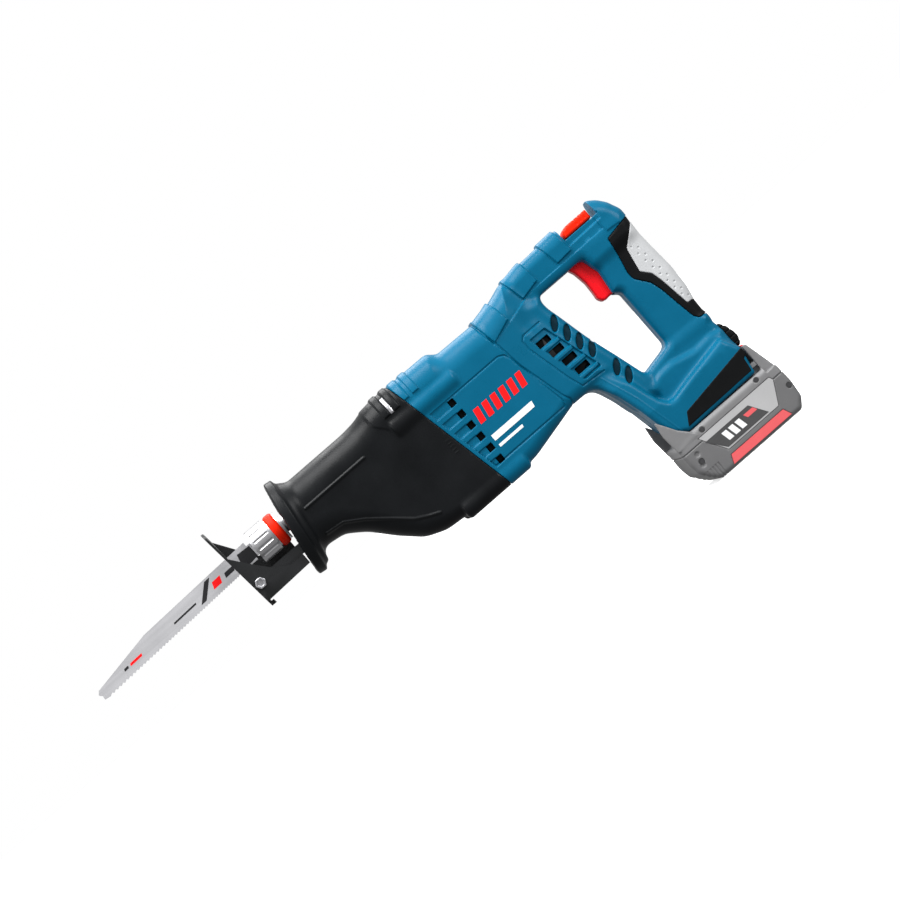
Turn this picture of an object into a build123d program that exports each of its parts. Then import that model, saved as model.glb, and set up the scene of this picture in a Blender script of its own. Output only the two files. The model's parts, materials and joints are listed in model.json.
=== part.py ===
from build123d import *
import os
from math import cos, pi, sin

os.makedirs("parts", exist_ok=True)

# Cordless reciprocating saw, in millimetres.
# Origin: on the stroke axis, at the front face of the blade clamp's sleeve, at mid stroke.
# -X points along the blade, +Z up, and the battery hangs under the rear handle.

# ---------------------------------------------------------------- driving sizes
stroke = 28.0
running_fit = 0.05              # radial clearance of a shaft or slide in its bearing
body_gap = 0.3                  # clearance between faces of pieces that move past each other

blade_length = 200.0
blade_width = 19.0
blade_thickness = 1.25
blade_droop = 2.0               # degrees between the blade's body and its tang
tang_depth = 19.3               # from the sleeve's front face to the end of the tang
tang_width = 12.7
tang_hole_radius = 2.2
blade_fit = 0.05                # clearance of the tang and its pin in the clamp
lock_pin_radius = tang_hole_radius - blade_fit

plunger_radius = 8.0
plunger_tail_radius = 5.0
sleeve_radius = 15.9
sleeve_length = 19.3
clamp_core_radius = 12.45

gear_module = 1.1
gear_teeth = 52
pinion_teeth = 8
gear_axis_x = 172.0
motor_axis_z = -38.0
chamber_radius = 31.8
case_wall = 2.4
nose_radius = 17.0
nose_front_x = 50.0
shaft_radius = 6.0
roller_radius = 5.0

motor_radius = 27.5
motor_front_x = 206.5
can_wall = 2.0
armature_radius = 21.6
motor_shaft_radius = 4.0

housing_wall = 2.5
boot_wall = 3.0
grip_skin = 2.5
body_half_width = 38.0
handle_half_width = 20.0
grip_half_width = 17.0
strut_half_width = 24.0
foot_half_width = 33.0
boot_tube_radius = 27.0

shoe_thickness = 2.0
shoe_half_width = 21.8
pivot_bolt_radius = 3.0
bolt_hexagon_radius = pivot_bolt_radius + 2.4
cheek_thickness = 2.5
arm_thickness = 3.0
arm_half_height = pivot_bolt_radius + 1.5
arm_front_x = -19.5             # front end of the fork's arms, just behind the shoe's plate
shoe_pivot = (arm_front_x + arm_half_height, -25.8)
bracket_top_z = -21.3

trigger_travel = 6.0
trigger_half_width = 8.0
trigger_back_x = 386.0
switch_x = (trigger_back_x + trigger_travel + 6.0, 413.0)
lead_radius = 1.2
lock_travel = 4.0
slider_x = (374.7, 404.0)
slider_half_width = 14.0
slider_foot_x = (386.0, 394.0)
slider_foot_half = 3.9
release_travel = 3.0

battery_half_width = 37.8
battery_top_z = -168.2
battery_seam_z = -180.7
battery_bottom_z = -216.0
battery_wall = 2.5
cell_radius = 9.05
cell_length = 65.0
rail_neck_half = 24.0
rail_head_half = 29.0
rail_front_x = 345.0
rail_gap = 0.4                  # clearance between rail and channel
blade_contacts_y = (-15.0, -5.0, 5.0, 15.0)

housing_screw_radius = 1.5
housing_screw_head = 3.0
boss_radius = 4.5

LOW = (Align.CENTER, Align.CENTER, Align.MIN)


# ---------------------------------------------------------------- shape helpers
def block(x, y, z):
    """Box between (low, high) pairs along X, Y and Z."""
    centre = Pos((x[0] + x[1]) / 2, (y[0] + y[1]) / 2, (z[0] + z[1]) / 2)
    return centre * Box(x[1] - x[0], y[1] - y[0], z[1] - z[0])


def rod_x(radius, x0, x1, y=0.0, z=0.0):
    return Pos(x0, y, z) * Rot(0, 90, 0) * Cylinder(radius, x1 - x0, align=LOW)


def rod_y(radius, y0, y1, x=0.0, z=0.0):
    return Pos(x, y0, z) * Rot(-90, 0, 0) * Cylinder(radius, y1 - y0, align=LOW)


def rod_z(radius, z0, z1, x=0.0, y=0.0):
    return Pos(x, y, z0) * Cylinder(radius, z1 - z0, align=LOW)


def prism(points, half_width, inset=0.0, radius=0.0):
    """Solid with an XZ outline, centred on Y = 0, its outline pulled in by inset."""
    line = FilletPolyline(*points, radius=radius, close=True) if radius else Polyline(*points, close=True)
    face = make_face(line)
    if inset:
        face = offset(face, amount=-inset, kind=Kind.INTERSECTION)
    return extrude(Plane.XZ * face, amount=half_width - inset, both=True)


def side_prism(points, y0, y1):
    """Solid with an XZ outline between two Y positions."""
    face = Plane.XZ.offset(-y0) * make_face(Polyline(*points, close=True))
    return extrude(face, amount=-(y1 - y0))


def mirror_y(shape):
    return mirror(shape, about=Plane.XZ)


def plan_limit(stations, inset=0.0):
    """Tall solid whose half width follows (x, half width) stations, pulled in by inset."""
    near = [(x, -(w - inset)) for x, w in stations]
    far = [(x, w - inset) for x, w in reversed(stations)]
    return extrude(make_face(Polyline(*near, *far, close=True)), amount=300, both=True)


def section_limit(half_width, z_low, z_high, radius, inset=0.0):
    """Long solid along X with rounded corners in the YZ plane, pulled in by inset."""
    face = RectangleRounded(2 * (half_width - inset), z_high - z_low - 2 * inset, radius - inset)
    return extrude(Plane.YZ * (Pos(0, (z_low + z_high) / 2) * face), amount=500)


def solid_group(shapes):
    return Compound(children=[s for shape in shapes for s in shape.solids()])


def save(name, shape):
    solids = shape.solids()
    part = solids[0] if len(solids) == 1 else Compound(children=solids)
    export_step(part, f"parts/{name}.step")


# ---------------------------------------------------------------- outer outlines (X, Z)
joint_top = (173.8, 30.5)       # line where the rubber boot meets the housing
joint_bottom = (200.4, -101.7)

motor_outline = [
    (150, 30.5), (217.6, 30), (224.5, 23.6), (264, 22.3), (305, 31.3), (322, 33), (322, -12),
    (334.3, -56.2), (336, -62), (312, -85.8), (284.5, -85.4), (234.8, -97.9), (224.5, -98.3),
    (221, -102.6), (150, -102.6),
]
motor_widths = [(140, body_half_width), (224, body_half_width), (290, 34), (345, 24)]
handle_outline = [
    (290, 20), (305, 31.3), (327.5, 36), (368.7, 37.8), (410, 36.9), (420.2, 30.5), (424.5, 21.9),
    (426.2, 13.3), (424.5, 3.9), (421, -8), (381.1, -8), (381.1, 3.9), (290, 3.9),
]
grip_outline = [
    (381.1, 14), (424.5, 14), (426.2, -24.5), (427.9, -50.2), (427, -71.7), (424.5, -84),
    (423.6, -108), (381.1, -108),
]
strut_outline = [
    (306, -56.2), (334.3, -56.2), (346.4, -93.1), (349.8, -106), (349.8, -125), (323.4, -125),
    (318, -106), (312.9, -88.8), (306, -85.6),
]
foot_outline = [
    (318, -106), (349.8, -106), (380.7, -99.1), (423.6, -100.9), (422.8, -110.3), (425.4, -114.6),
    (424.5, -142), (422.7, -153.2), (420.2, -167), (344.6, -167.8), (334.3, -161.8), (329.2, -153.2),
    (324, -127.5),
]
lobe_outline = [
    (20, -2), (136, -2), (141.2, 28.8), (154, 30), (225, 31), (225, -101.7), (159.2, -101.7),
    (154.9, -97.4), (134.3, -95.7), (117.2, -88.8), (100, -72.5), (82.8, -52.8), (66.5, -41),
    (20, -41),
]
lobe_widths = [(10, 27), (100, 27), (128, 28), (150, 36), (175, body_half_width), (230, body_half_width)]
grip_black_outline = [
    (401.3, 2.1), (432, 7.8), (432, -101.2), (415, -99.1), (409, -71.7), (405.6, -52.8),
    (394.4, -37.3), (399.6, -4.7),
]
grip_grey_outline = [
    (422.7, -3), (409, -15), (403.9, -37.3), (411.6, -48.5), (417.6, -85.4), (440, -83.7), (440, -3),
]
foot_ceiling_z = -155.0
handle_top_z = 38.0
body_top_z = 31.0
body_bottom_z = -103.0
recess_floor_z = 25.0
recess_x = (slider_x[0] - 2.7, slider_x[1] + lock_travel + 0.6)


def behind_joint():
    """Everything rearward of the line where boot and housing meet."""
    lean = (joint_bottom[0] - joint_top[0]) / (joint_top[1] - joint_bottom[1])
    top_x = joint_top[0] - lean * (100 - joint_top[1])
    low_x = joint_bottom[0] + lean * (300 + joint_bottom[1])
    return prism([(top_x, 100), (600, 100), (600, -300), (low_x, -300)], 100)


def housing_form(inset=0.0):
    """The housing's whole envelope, pulled in by inset."""
    motor = prism(motor_outline, body_half_width, inset) & plan_limit(motor_widths, inset)
    motor = motor & section_limit(body_half_width, body_bottom_z, body_top_z, 16, inset)
    handle = prism(handle_outline, handle_half_width, inset)
    handle = handle & section_limit(handle_half_width, -40, handle_top_z, 9, inset)
    grip = prism(grip_outline, grip_half_width, inset)
    strut = prism(strut_outline, strut_half_width, inset)
    foot = prism(foot_outline, foot_half_width, inset)
    shoulder = [(17, -96), (foot_half_width, -130), (foot_half_width, -190)]
    shoulder += [(-y, z) for y, z in reversed(shoulder)]
    foot_section = offset(make_face(Polyline(*shoulder, close=True)), amount=-inset, kind=Kind.INTERSECTION)
    foot = foot & extrude(Plane.YZ * foot_section, amount=500)
    return motor + handle + grip + strut + foot


def boot_form(inset=0.0):
    """The rubber boot's envelope without its hand guard, pulled in by inset."""
    front = nose_front_x - 14 - 20 * (inset > 0)
    tube = rod_x(boot_tube_radius - inset, front, 215, z=-2)
    lobe = prism(lobe_outline, 100, inset) & plan_limit(lobe_widths, inset)
    lobe = lobe & section_limit(body_half_width, body_bottom_z, body_top_z, 16, inset)
    if not inset:
        lobe = lobe & block((front, 300), (-100, 100), (-200, 100))
    return tube + lobe


# ---------------------------------------------------------------- blade and clamp
def blade():
    """Wood blade with teeth that coarsen towards the tip, on a universal tang."""
    back = blade_width - 8.6
    tooth_line = back - blade_width
    tip_x = tang_depth - blade_length
    fine, coarse = 2.6, 4.3
    first, last = 25.0, -tip_x - 5.0
    teeth = []
    s = first
    while s < last:
        pitch = fine + (coarse - fine) * (s - first) / (last - first)
        depth = 0.36 * pitch
        teeth += [(-s, tooth_line + depth), (-(s + 0.62 * pitch), tooth_line)]
        s += pitch
    body = [(-4, back), (-(tang_depth + 99.7), back), (tip_x + 1.4, 1.6), (tip_x - 1.2, -1.4)]
    body += [(tip_x + 1.0, -4.0), (tip_x + 0.4, -7.6), *reversed(teeth), (-4, tooth_line)]
    tang = Pos(tang_depth / 2 - 3, 0) * Rectangle(tang_depth + 6, tang_width)
    face = Rot(0, 0, blade_droop) * make_face(Polyline(*body, close=True)) + tang
    face -= Pos(tang_depth - 8, 0) * Circle(tang_hole_radius)
    return extrude(Plane.XZ * face, amount=blade_thickness / 2, both=True)


def clamp_core():
    """Body of the quick blade clamp, slotted for the tang and bored for the plunger."""
    core = rod_x(clamp_core_radius, 1.5, 29.8)
    slot_height = tang_width / 2 + blade_fit
    slot_half = blade_thickness / 2 + blade_fit
    core -= block((0, tang_depth), (-slot_half, slot_half), (-slot_height, slot_height))
    core -= rod_x(plunger_radius, 21.5, 40)
    core -= rod_y(lock_pin_radius, -20, 4, x=tang_depth - 8)
    return core


def clamp_lock_pin():
    return rod_y(lock_pin_radius, -(clamp_core_radius - 0.2), 4, x=tang_depth - 8)


def clamp_sleeve():
    """Fluted steel sleeve that turns on the clamp body to free the blade."""
    bore = clamp_core_radius + running_fit
    sleeve = rod_x(sleeve_radius, 0, sleeve_length) + rod_x(14, sleeve_length, 29.6)
    sleeve -= rod_x(bore, -1, 31)
    flutes = 14
    for i in range(flutes):
        angle = 2 * pi * (i + 0.5) / flutes
        radius = sleeve_radius + 0.9
        sleeve -= rod_x(1.7, 2.5, 17.5, y=radius * cos(angle), z=radius * sin(angle))
    return sleeve


def clamp_ring():
    """Coloured ring pressed on the sleeve's neck."""
    ring = rod_x(15.5, 20.2, 29.6)
    ring = fillet(ring.edges().filter_by(GeomType.CIRCLE), 3.0)
    return ring - rod_x(14, 19, 31)


def clamp_retainer():
    """Snap ring behind the clamp body that holds the sleeve on."""
    return rod_x(13.8, 29.8 + 0.1, 31.4) - rod_x(plunger_radius, 29, 32)


# ---------------------------------------------------------------- plunger and its drive
yoke_slack = 3.3                # opens the slot for the roller's side play along the stroke
slot_half_length = stroke / 2 + roller_radius + 0.3
slot_radius = roller_radius + yoke_slack
yoke_wall = 3.2
yoke_half_height = 5.0


def stadium(half_length, radius, z0, z1):
    """Slot shape with its long axis along Y, at the gear axis."""
    straight = half_length - radius
    shape = block((gear_axis_x - radius, gear_axis_x + radius), (-straight, straight), (z0, z1))
    shape += rod_z(radius, z0, z1, x=gear_axis_x, y=straight)
    return shape + rod_z(radius, z0, z1, x=gear_axis_x, y=-straight)


def plunger():
    """Plunger rod with the cross yoke that the crank roller pushes, and a guided tail."""
    rod = rod_x(plunger_radius, 21.5, gear_axis_x - slot_radius - 1)
    tail = rod_x(plunger_tail_radius, gear_axis_x + slot_radius + 1, rear_bush_x[1] + stroke / 2 + 3)
    flat_x = gear_axis_x - crank_disc_radius - stroke / 2 - 3
    rod -= block((flat_x, gear_axis_x), (-20, 20), (-20, -yoke_half_height))
    yoke = stadium(slot_half_length + yoke_wall, slot_radius + yoke_wall, -yoke_half_height, yoke_half_height)
    slot = stadium(slot_half_length, slot_radius, -10, 10)
    return rod + tail + yoke - slot


crank_pin_radius = 3.0
crank_disc_z = (-12.0, -6.0)
crank_disc_radius = 20.0
upper_bearing_z = (-21.0, -14.0)
gear_z = (-32.4, -25.0)
lower_bearing_z = (-56.0, -49.0)
pan_bottom_z = -61.0
case_split_z = -24.0
upper_bearing_radius = 14.0
lower_bearing_radius = 13.0
front_bush_x = (54.0, 80.0)
rear_bush_x = (203.4, 213.0)
bush_wall = 4.0
tail_bush_wall = 3.0
cover_top_z = 11.6


def crank_disc():
    disc = rod_z(crank_disc_radius, *crank_disc_z, x=gear_axis_x) - rod_z(shaft_radius, -20, 0, x=gear_axis_x)
    return disc - rod_z(crank_pin_radius, -20, 0, x=gear_axis_x, y=-stroke / 2)


def crank_pin():
    return rod_z(crank_pin_radius, crank_disc_z[0], yoke_half_height, x=gear_axis_x, y=-stroke / 2)


def crank_roller():
    roller = rod_z(roller_radius, crank_disc_z[1] + 0.5, yoke_half_height - 0.5, x=gear_axis_x, y=-stroke / 2)
    return roller - rod_z(crank_pin_radius, -20, 20, x=gear_axis_x, y=-stroke / 2)


def gear_shaft():
    return rod_z(shaft_radius, lower_bearing_z[0], crank_disc_z[1], x=gear_axis_x)


def crown_gear():
    """Face gear whose teeth point down at the motor pinion."""
    outer, inner = 31.0, 25.8
    gear = rod_z(outer, *gear_z, x=gear_axis_x) - rod_z(shaft_radius, -60, 0, x=gear_axis_x)
    for i in range(6):
        angle = 2 * pi * (i + 0.5) / 6
        gear -= rod_z(4.5, -60, 0, x=gear_axis_x + 16 * cos(angle), y=16 * sin(angle))
    tooth_z = (motor_axis_z + 3.5, gear_z[0] + 0.2)
    root, tip = 1.5, 0.75
    profile = Polyline((-root / 2, tooth_z[1]), (-tip / 2, tooth_z[0]), (tip / 2, tooth_z[0]),
                       (root / 2, tooth_z[1]), close=True)
    tooth = extrude(Plane.YZ.offset(inner) * make_face(profile), amount=outer - inner)
    for i in range(gear_teeth):
        gear += Pos(gear_axis_x, 0, 0) * Rot(0, 0, 360 * (i + 0.5) / gear_teeth) * tooth
    return gear


def motor_pinion():
    """Small spur pinion on the rotor shaft; one tooth points straight up at rest."""
    pitch_radius = gear_module * pinion_teeth / 2
    root_radius, tip_radius = pitch_radius - 1.3, pitch_radius + 0.9
    x0, x1 = gear_axis_x + 25.6, gear_axis_x + 31.4
    pinion = rod_x(root_radius, x0, x1, z=motor_axis_z)
    profile = Polyline((-0.8, root_radius - 0.4), (-0.32, tip_radius), (0.32, tip_radius),
                       (0.8, root_radius - 0.4), close=True)
    tooth = extrude(Plane.YZ.offset(x0) * make_face(profile), amount=x1 - x0)
    for i in range(pinion_teeth):
        pinion += Pos(0, 0, motor_axis_z) * Rot(360 * i / pinion_teeth, 0, 0) * tooth
    return pinion - rod_x(2, x0 - 1, x1 + 1, z=motor_axis_z)


def ring_z(outer, inner, z):
    return rod_z(outer, *z, x=gear_axis_x) - rod_z(inner, z[0] - 1, z[1] + 1, x=gear_axis_x)


def gear_bearings():
    """Bearings above and below the crown gear."""
    bore = shaft_radius + running_fit
    upper = ring_z(upper_bearing_radius, bore, upper_bearing_z)
    return solid_group([upper, ring_z(lower_bearing_radius, bore, lower_bearing_z)])


# ---------------------------------------------------------------- gear case
case_bolts = [(196.5, 26.5), (196.5, -26.5)]
nose_screws = [(118.0, 19.4), (118.0, -19.4)]
nose_lug_radius = 3.4
nose_lug_z = (-8.0, 3.0)
pan_screw = (133.8, 0.0)
lug_radius = 4.4


def case_form():
    """Gear case in one piece: nose tube, round chamber, tail guide and lugs."""
    outer = chamber_radius + case_wall
    form = rod_z(outer, pan_bottom_z, cover_top_z, x=gear_axis_x) + rod_x(nose_radius, nose_front_x, 150)
    form += rod_x(plunger_tail_radius + tail_bush_wall + 2, 196, rear_bush_x[1])
    form += block((197, motor_front_x), (-14, 14), (motor_axis_z - 14, motor_axis_z + 13))
    for x, y in case_bolts:
        form += rod_z(lug_radius, -40, cover_top_z, x=x, y=y)
    for x, y in nose_screws:
        form += rod_z(nose_lug_radius, *nose_lug_z, x=x, y=y)
        form += block((x - nose_lug_radius, x + nose_lug_radius), sorted((0, y)), nose_lug_z)
    form += rod_z(lug_radius, -36, -14, x=pan_screw[0]) + block(
        (pan_screw[0], 145), (-lug_radius, lug_radius), (-36, -14))
    form += block((66, 108), (-12, 12), (bracket_top_z, -10))

    form -= rod_z(chamber_radius, pan_bottom_z + case_wall + 1, upper_bearing_z[0], x=gear_axis_x)
    form -= rod_z(chamber_radius, upper_bearing_z[1] + 1, cover_top_z - case_wall, x=gear_axis_x)
    form -= rod_z(upper_bearing_radius, -30, 0, x=gear_axis_x)
    form -= rod_x(plunger_radius + 1.2, nose_front_x - 1, 150)
    form -= rod_x(plunger_radius + bush_wall, nose_front_x - 1, front_bush_x[1])
    form -= rod_x(plunger_tail_radius + tail_bush_wall, 200, rear_bush_x[1] + 1)
    form -= rod_x(6, 197, motor_front_x + 1, z=motor_axis_z)
    boss = ring_z(lower_bearing_radius + 3, lower_bearing_radius, (pan_bottom_z + 1, lower_bearing_z[1]))
    return form + boss


def case_parts():
    """Case cut at the plunger axis and above the lower gear chamber."""
    form = case_form()
    cover = form & block((0, 300), (-60, 60), (0, 60))
    case = form & block((0, 300), (-60, 60), (case_split_z, 0))
    pan = form & block((0, 300), (-60, 60), (-90, case_split_z))
    for screw in case_screw_solids() + bracket_screw_solids():
        cover -= screw
        case -= screw
        pan -= screw
    return cover, case, pan


def case_screw_solids():
    screws = []
    for x, y in case_bolts:
        shank = rod_z(2, -38, cover_top_z, x=x, y=y)
        screws.append(shank + rod_z(3.6, cover_top_z, cover_top_z + 3, x=x, y=y))
    for x, y in nose_screws:
        shank = rod_z(1.5, nose_lug_z[0] + 1, nose_lug_z[1], x=x, y=y)
        screws.append(shank + rod_z(2.7, nose_lug_z[1], nose_lug_z[1] + 2, x=x, y=y))
    x, y = pan_screw
    screws.append(rod_z(1.5, -36, -16, x=x, y=y) + rod_z(2.8, -38.4, -36, x=x, y=y))
    return screws


def plunger_bushes():
    """Front bush round the plunger rod and rear bush round its tail."""
    front = rod_x(plunger_radius + bush_wall, *front_bush_x) - rod_x(plunger_radius + running_fit, 0, 200)
    rear = rod_x(plunger_tail_radius + tail_bush_wall, *rear_bush_x)
    return solid_group([front, rear - rod_x(plunger_tail_radius + running_fit, 0, 300)])


def plunger_seal():
    seal = rod_x(plunger_radius + bush_wall, nose_front_x, front_bush_x[0])
    return seal - rod_x(plunger_radius + running_fit, 0, 200)


# ---------------------------------------------------------------- motor
front_bearing_x = (motor_front_x + 0.5, motor_front_x + 6.5)
plate_x = (motor_front_x, motor_front_x + 8)
post_radius = 2.0
post_circle_radius = 24.8
fan_x = (216.5, 224.0)
fan_radius = 21.8
can_x = (226.0, 283.0)
magnet_x = (232.0, 272.0)
armature_x = (234.0, 270.0)
commutator_x = (279.0, 291.0)
brush_plate_x = (283.0, 294.0)
end_cap_x = (294.0, 302.0)
rear_bearing_x = (end_cap_x[0] + 0.8, end_cap_x[1])
commutator_radius = 10.0


def motor_tube(outer, inner, x):
    return rod_x(outer, *x, z=motor_axis_z) - rod_x(inner, x[0] - 1, x[1] + 1, z=motor_axis_z)


def motor_front_plate():
    plate = motor_tube(motor_radius, 11, plate_x)
    plate += motor_tube(11, motor_shaft_radius + 1.5, (plate_x[0], front_bearing_x[0]))
    for i in range(6):
        angle = 2 * pi * (i + 0.5) / 6
        plate -= rod_x(4, 200, 230, y=19 * cos(angle), z=motor_axis_z + 19 * sin(angle))
    for i in range(4):
        angle = 2 * pi * (i + 0.5) / 4
        y, z = post_circle_radius * cos(angle), motor_axis_z + post_circle_radius * sin(angle)
        plate += rod_x(post_radius, plate_x[1], can_x[0], y=y, z=z)
    return plate


def motor_can():
    can = motor_tube(motor_radius, motor_radius - can_wall, can_x)
    front = motor_tube(motor_radius - can_wall, armature_radius, (can_x[0], can_x[0] + can_wall))
    return can + front


def magnets():
    outer = motor_radius - can_wall
    arcs = motor_tube(outer, armature_radius + 0.6, magnet_x)
    return arcs - block((200, 300), (-10, 10), (motor_axis_z - 40, motor_axis_z + 40))


def rotor_shaft():
    nose = rod_x(2, gear_axis_x + 25.6, motor_front_x + 0.5, z=motor_axis_z)
    return nose + rod_x(motor_shaft_radius, motor_front_x + 0.5, 301, z=motor_axis_z)


def armature_core():
    core = motor_tube(armature_radius, motor_shaft_radius, armature_x)
    slots = 12
    for i in range(slots):
        turn = Pos(0, 0, motor_axis_z) * Rot(360 * i / slots, 0, 0)
        core -= turn * block(armature_x, (-1.0, 1.0), (12, 25))
    return core


def armature_windings():
    front = motor_tube(19, 8, (armature_x[0] - 6.5, armature_x[0]))
    rear = motor_tube(18, 8, (armature_x[1], armature_x[1] + 7))
    sleeve = motor_tube(8, motor_shaft_radius, (armature_x[0] - 6.5, armature_x[0]))
    rear_sleeve = motor_tube(8, motor_shaft_radius, (armature_x[1], armature_x[1] + 7))
    return solid_group([front + sleeve, rear + rear_sleeve])


def commutator():
    drum = motor_tube(commutator_radius, motor_shaft_radius, commutator_x)
    for i in range(12):
        turn = Pos(0, 0, motor_axis_z) * Rot(360 * i / 12, 0, 0)
        drum -= turn * block(commutator_x, (-0.3, 0.3), (commutator_radius - 0.8, 12))
    return drum


def fan():
    wheel = motor_tube(fan_radius, motor_shaft_radius, (fan_x[1] - 1.5, fan_x[1]))
    wheel += motor_tube(8, motor_shaft_radius, fan_x)
    for i in range(11):
        turn = Pos(0, 0, motor_axis_z) * Rot(360 * i / 11, 0, 0)
        wheel += turn * block(fan_x, (-0.6, 0.6), (7.5, fan_radius - 0.4))
    return wheel


def brush_plate():
    plate = motor_tube(motor_radius, commutator_radius + 0.6, brush_plate_x)
    for y in (-19, 19):
        plate -= block((285, 291), (y - 9.5, y + 9.5), (motor_axis_z - 3, motor_axis_z + 3))
    return plate - motor_tube(22, 14, (290, 295))


def brushes():
    inner, outer = commutator_radius + running_fit, 22.0
    brush = block((285, 291), (inner - 1, outer), (motor_axis_z - 3, motor_axis_z + 3))
    brush -= rod_x(inner, 280, 300, z=motor_axis_z)
    return solid_group([brush, mirror_y(brush)])


def motor_end_cap():
    cap = motor_tube(motor_radius, 9, end_cap_x)
    cap += motor_tube(9, motor_shaft_radius + 0.6, (end_cap_x[0], end_cap_x[0] + 0.8))
    for i in range(6):
        angle = 2 * pi * i / 6
        cap -= rod_x(3.5, 290, 310, y=18 * cos(angle), z=motor_axis_z + 18 * sin(angle))
    return cap


def motor_bearings():
    bore = motor_shaft_radius + running_fit
    return solid_group([motor_tube(11, bore, front_bearing_x), motor_tube(9, bore, rear_bearing_x)])


# ---------------------------------------------------------------- shoe
def lean_x(z):
    """Front face of the shoe plate at height z."""
    return -27.5 + 7.3 * (38.2 - z) / 85.0


def shoe():
    """Pivoting foot: leaning front plate with a blade window and two side cheeks."""
    t = shoe_thickness
    plate = prism([(lean_x(38.2), 38.2), (lean_x(38.2) + t, 38.2), (lean_x(-46.8) + t, -46.8),
                   (lean_x(-46.8), -46.8)], shoe_half_width)
    plate = plate & section_limit(shoe_half_width, -46.8, 38.2, 9).moved(Location((-100, 0, 0)))
    plate -= block((-60, 20), (-6.5, 6.5), (-21, 23))
    lip = prism([(lean_x(-43) + 0.5, -43), (lean_x(-43) + 4.5, -43), (lean_x(-46.8) + 4.5, -46.8),
                 (lean_x(-46.8) + 0.5, -46.8)], shoe_half_width - 8)
    near = [(lean_x(9.9) + 0.5, 9.9), (-11.6, -7.3), (1.3, -22.7), (14.2, -30.5), (28, -30.5),
            (28, -39.9), (lean_x(-41.5) + 0.5, -41.5)]
    far = [(lean_x(31) + 0.5, 31), (-13.3, 10.7), (-6, -4), (6, -10.5), (27, -12.5), (27, -31),
           (28, -39.9), (lean_x(-41.5) + 0.5, -41.5)]
    inner = shoe_half_width - cheek_thickness
    body = plate + lip
    body += side_prism(near, -shoe_half_width, -inner)
    body += side_prism(far, inner, shoe_half_width)
    body -= rod_y(pivot_bolt_radius + running_fit, -60, 60, x=shoe_pivot[0], z=shoe_pivot[1])
    return body


def shoe_bracket():
    """Steel fork under the nose that carries the shoe's pivot."""
    outer = shoe_half_width - cheek_thickness - body_gap
    x, z = shoe_pivot
    arm = block((x, 112), (outer - arm_thickness, outer), (z - arm_half_height, z + arm_half_height))
    arm += rod_y(arm_half_height, outer - arm_thickness, outer, x=x, z=z)
    arms = arm + mirror_y(arm)
    fork = arms + block((62, 112), (-outer, outer), (bracket_top_z - 2.7, bracket_top_z))
    fork -= rod_y(pivot_bolt_radius, -60, 60, x=x, z=z)
    for screw in bracket_screw_solids():
        fork -= screw
    return fork


def bracket_screw_solids():
    screws = []
    for x in (75, 99):
        shank = rod_z(2, bracket_top_z - 2.8, bracket_top_z + 7, x=x)
        screws.append(shank + rod_z(3.6, bracket_top_z - 5.7, bracket_top_z - 2.7, x=x))
    return screws


def shoe_pivot_bolt():
    """Bolt through fork and cheeks with a hexagon head and nut."""
    x, z = shoe_pivot
    head_y = shoe_half_width + body_gap
    shank = rod_y(pivot_bolt_radius, -head_y - 1, head_y + 1, x=x, z=z)
    hexagon = RegularPolygon(bolt_hexagon_radius, 6)
    head = extrude(Plane.XZ.offset(head_y) * (Pos(x, z) * hexagon), amount=3.2)
    nut = extrude(Plane.XZ.offset(-head_y - 3.2) * (Pos(x, z) * hexagon), amount=3.2)
    return shank + head + nut


# ---------------------------------------------------------------- boot
def front_boot():
    """Rubber boot with a leaning hand guard at its mouth."""
    rim_top, rim_bottom = (40.8, 36.5), (27.9, -52.8)
    run, rise = rim_top[0] - rim_bottom[0], rim_top[1] - rim_bottom[1]
    length = (run**2 + rise**2) ** 0.5
    middle = ((rim_top[0] + rim_bottom[0]) / 2, 0, (rim_top[1] + rim_bottom[1]) / 2)
    guard_plane = Plane(origin=middle, x_dir=(0, 1, 0), z_dir=(rise / length, 0, -run / length))
    guard = extrude(guard_plane * Ellipse(36, length / 2), amount=7)
    cavity = boot_form(boot_wall)
    boot = boot_form() + guard - cavity - behind_joint()
    support = cavity & block((96, 99), (-60, 60), (-6, 40))
    boot += support - rod_x(nose_radius, 0, 200)
    return boot - boot_clip_solids()[0] - boot_clip_solids()[1]


def boot_clip_solids():
    """Bright clips let into the boot's ribs, one on each side."""
    clip = block((162.7, 165.4), (30, body_half_width + 2), (12.4, 24.5))
    clip = clip & boot_form() - boot_form(1.2)
    return [clip, mirror_y(clip)]


# ---------------------------------------------------------------- housing
boss_places = [(214, 18), (218, -88), (312, 8.5), (316, -72), (341, -138), (412, -132), (388, -70),
               (356, 28), (417.5, 17)]
vent_pitch = 12.6
head_seat_y = 6.0
screw_depth = 12.0


def housing_screw_solids(radius=housing_screw_radius, head=housing_screw_head, head_height=3.0):
    return [
        rod_y(radius, -screw_depth, head_seat_y + 0.01, x=x, z=z)
        + rod_y(head, head_seat_y, head_seat_y + head_height, x=x, z=z)
        for x, z in boss_places
    ]


def foot_channel():
    """T-slot under the foot that takes the battery rail, open at the rear."""
    x = (rail_front_x - 2, 440)
    neck_half, head_half = rail_neck_half + rail_gap, rail_head_half + rail_gap
    neck = block(x, (-neck_half, neck_half), (-180, battery_top_z + 5.6))
    head = block(x, (-head_half, head_half), (battery_top_z + 4.8, battery_top_z + 10.2))
    return neck + head


def foot_inlay():
    """Rubber inlay let into the side of the foot."""
    outline = [(351.5, -154.1), (418.4, -142.9), (419.5, -163.8), (345.5, -163.8)]
    return side_prism(outline, foot_half_width - 1.4, foot_half_width)


def foot_bumpers():
    outline = [(424.9, -114.6), (430.5, -121.5), (433, -131.8), (431.3, -138.6), (428.8, -141.2),
               (424.5, -141.2)]
    rear = prism(outline, 14) - prism(foot_outline, foot_half_width)
    return solid_group([foot_inlay(), mirror_y(foot_inlay()), rear])


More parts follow.
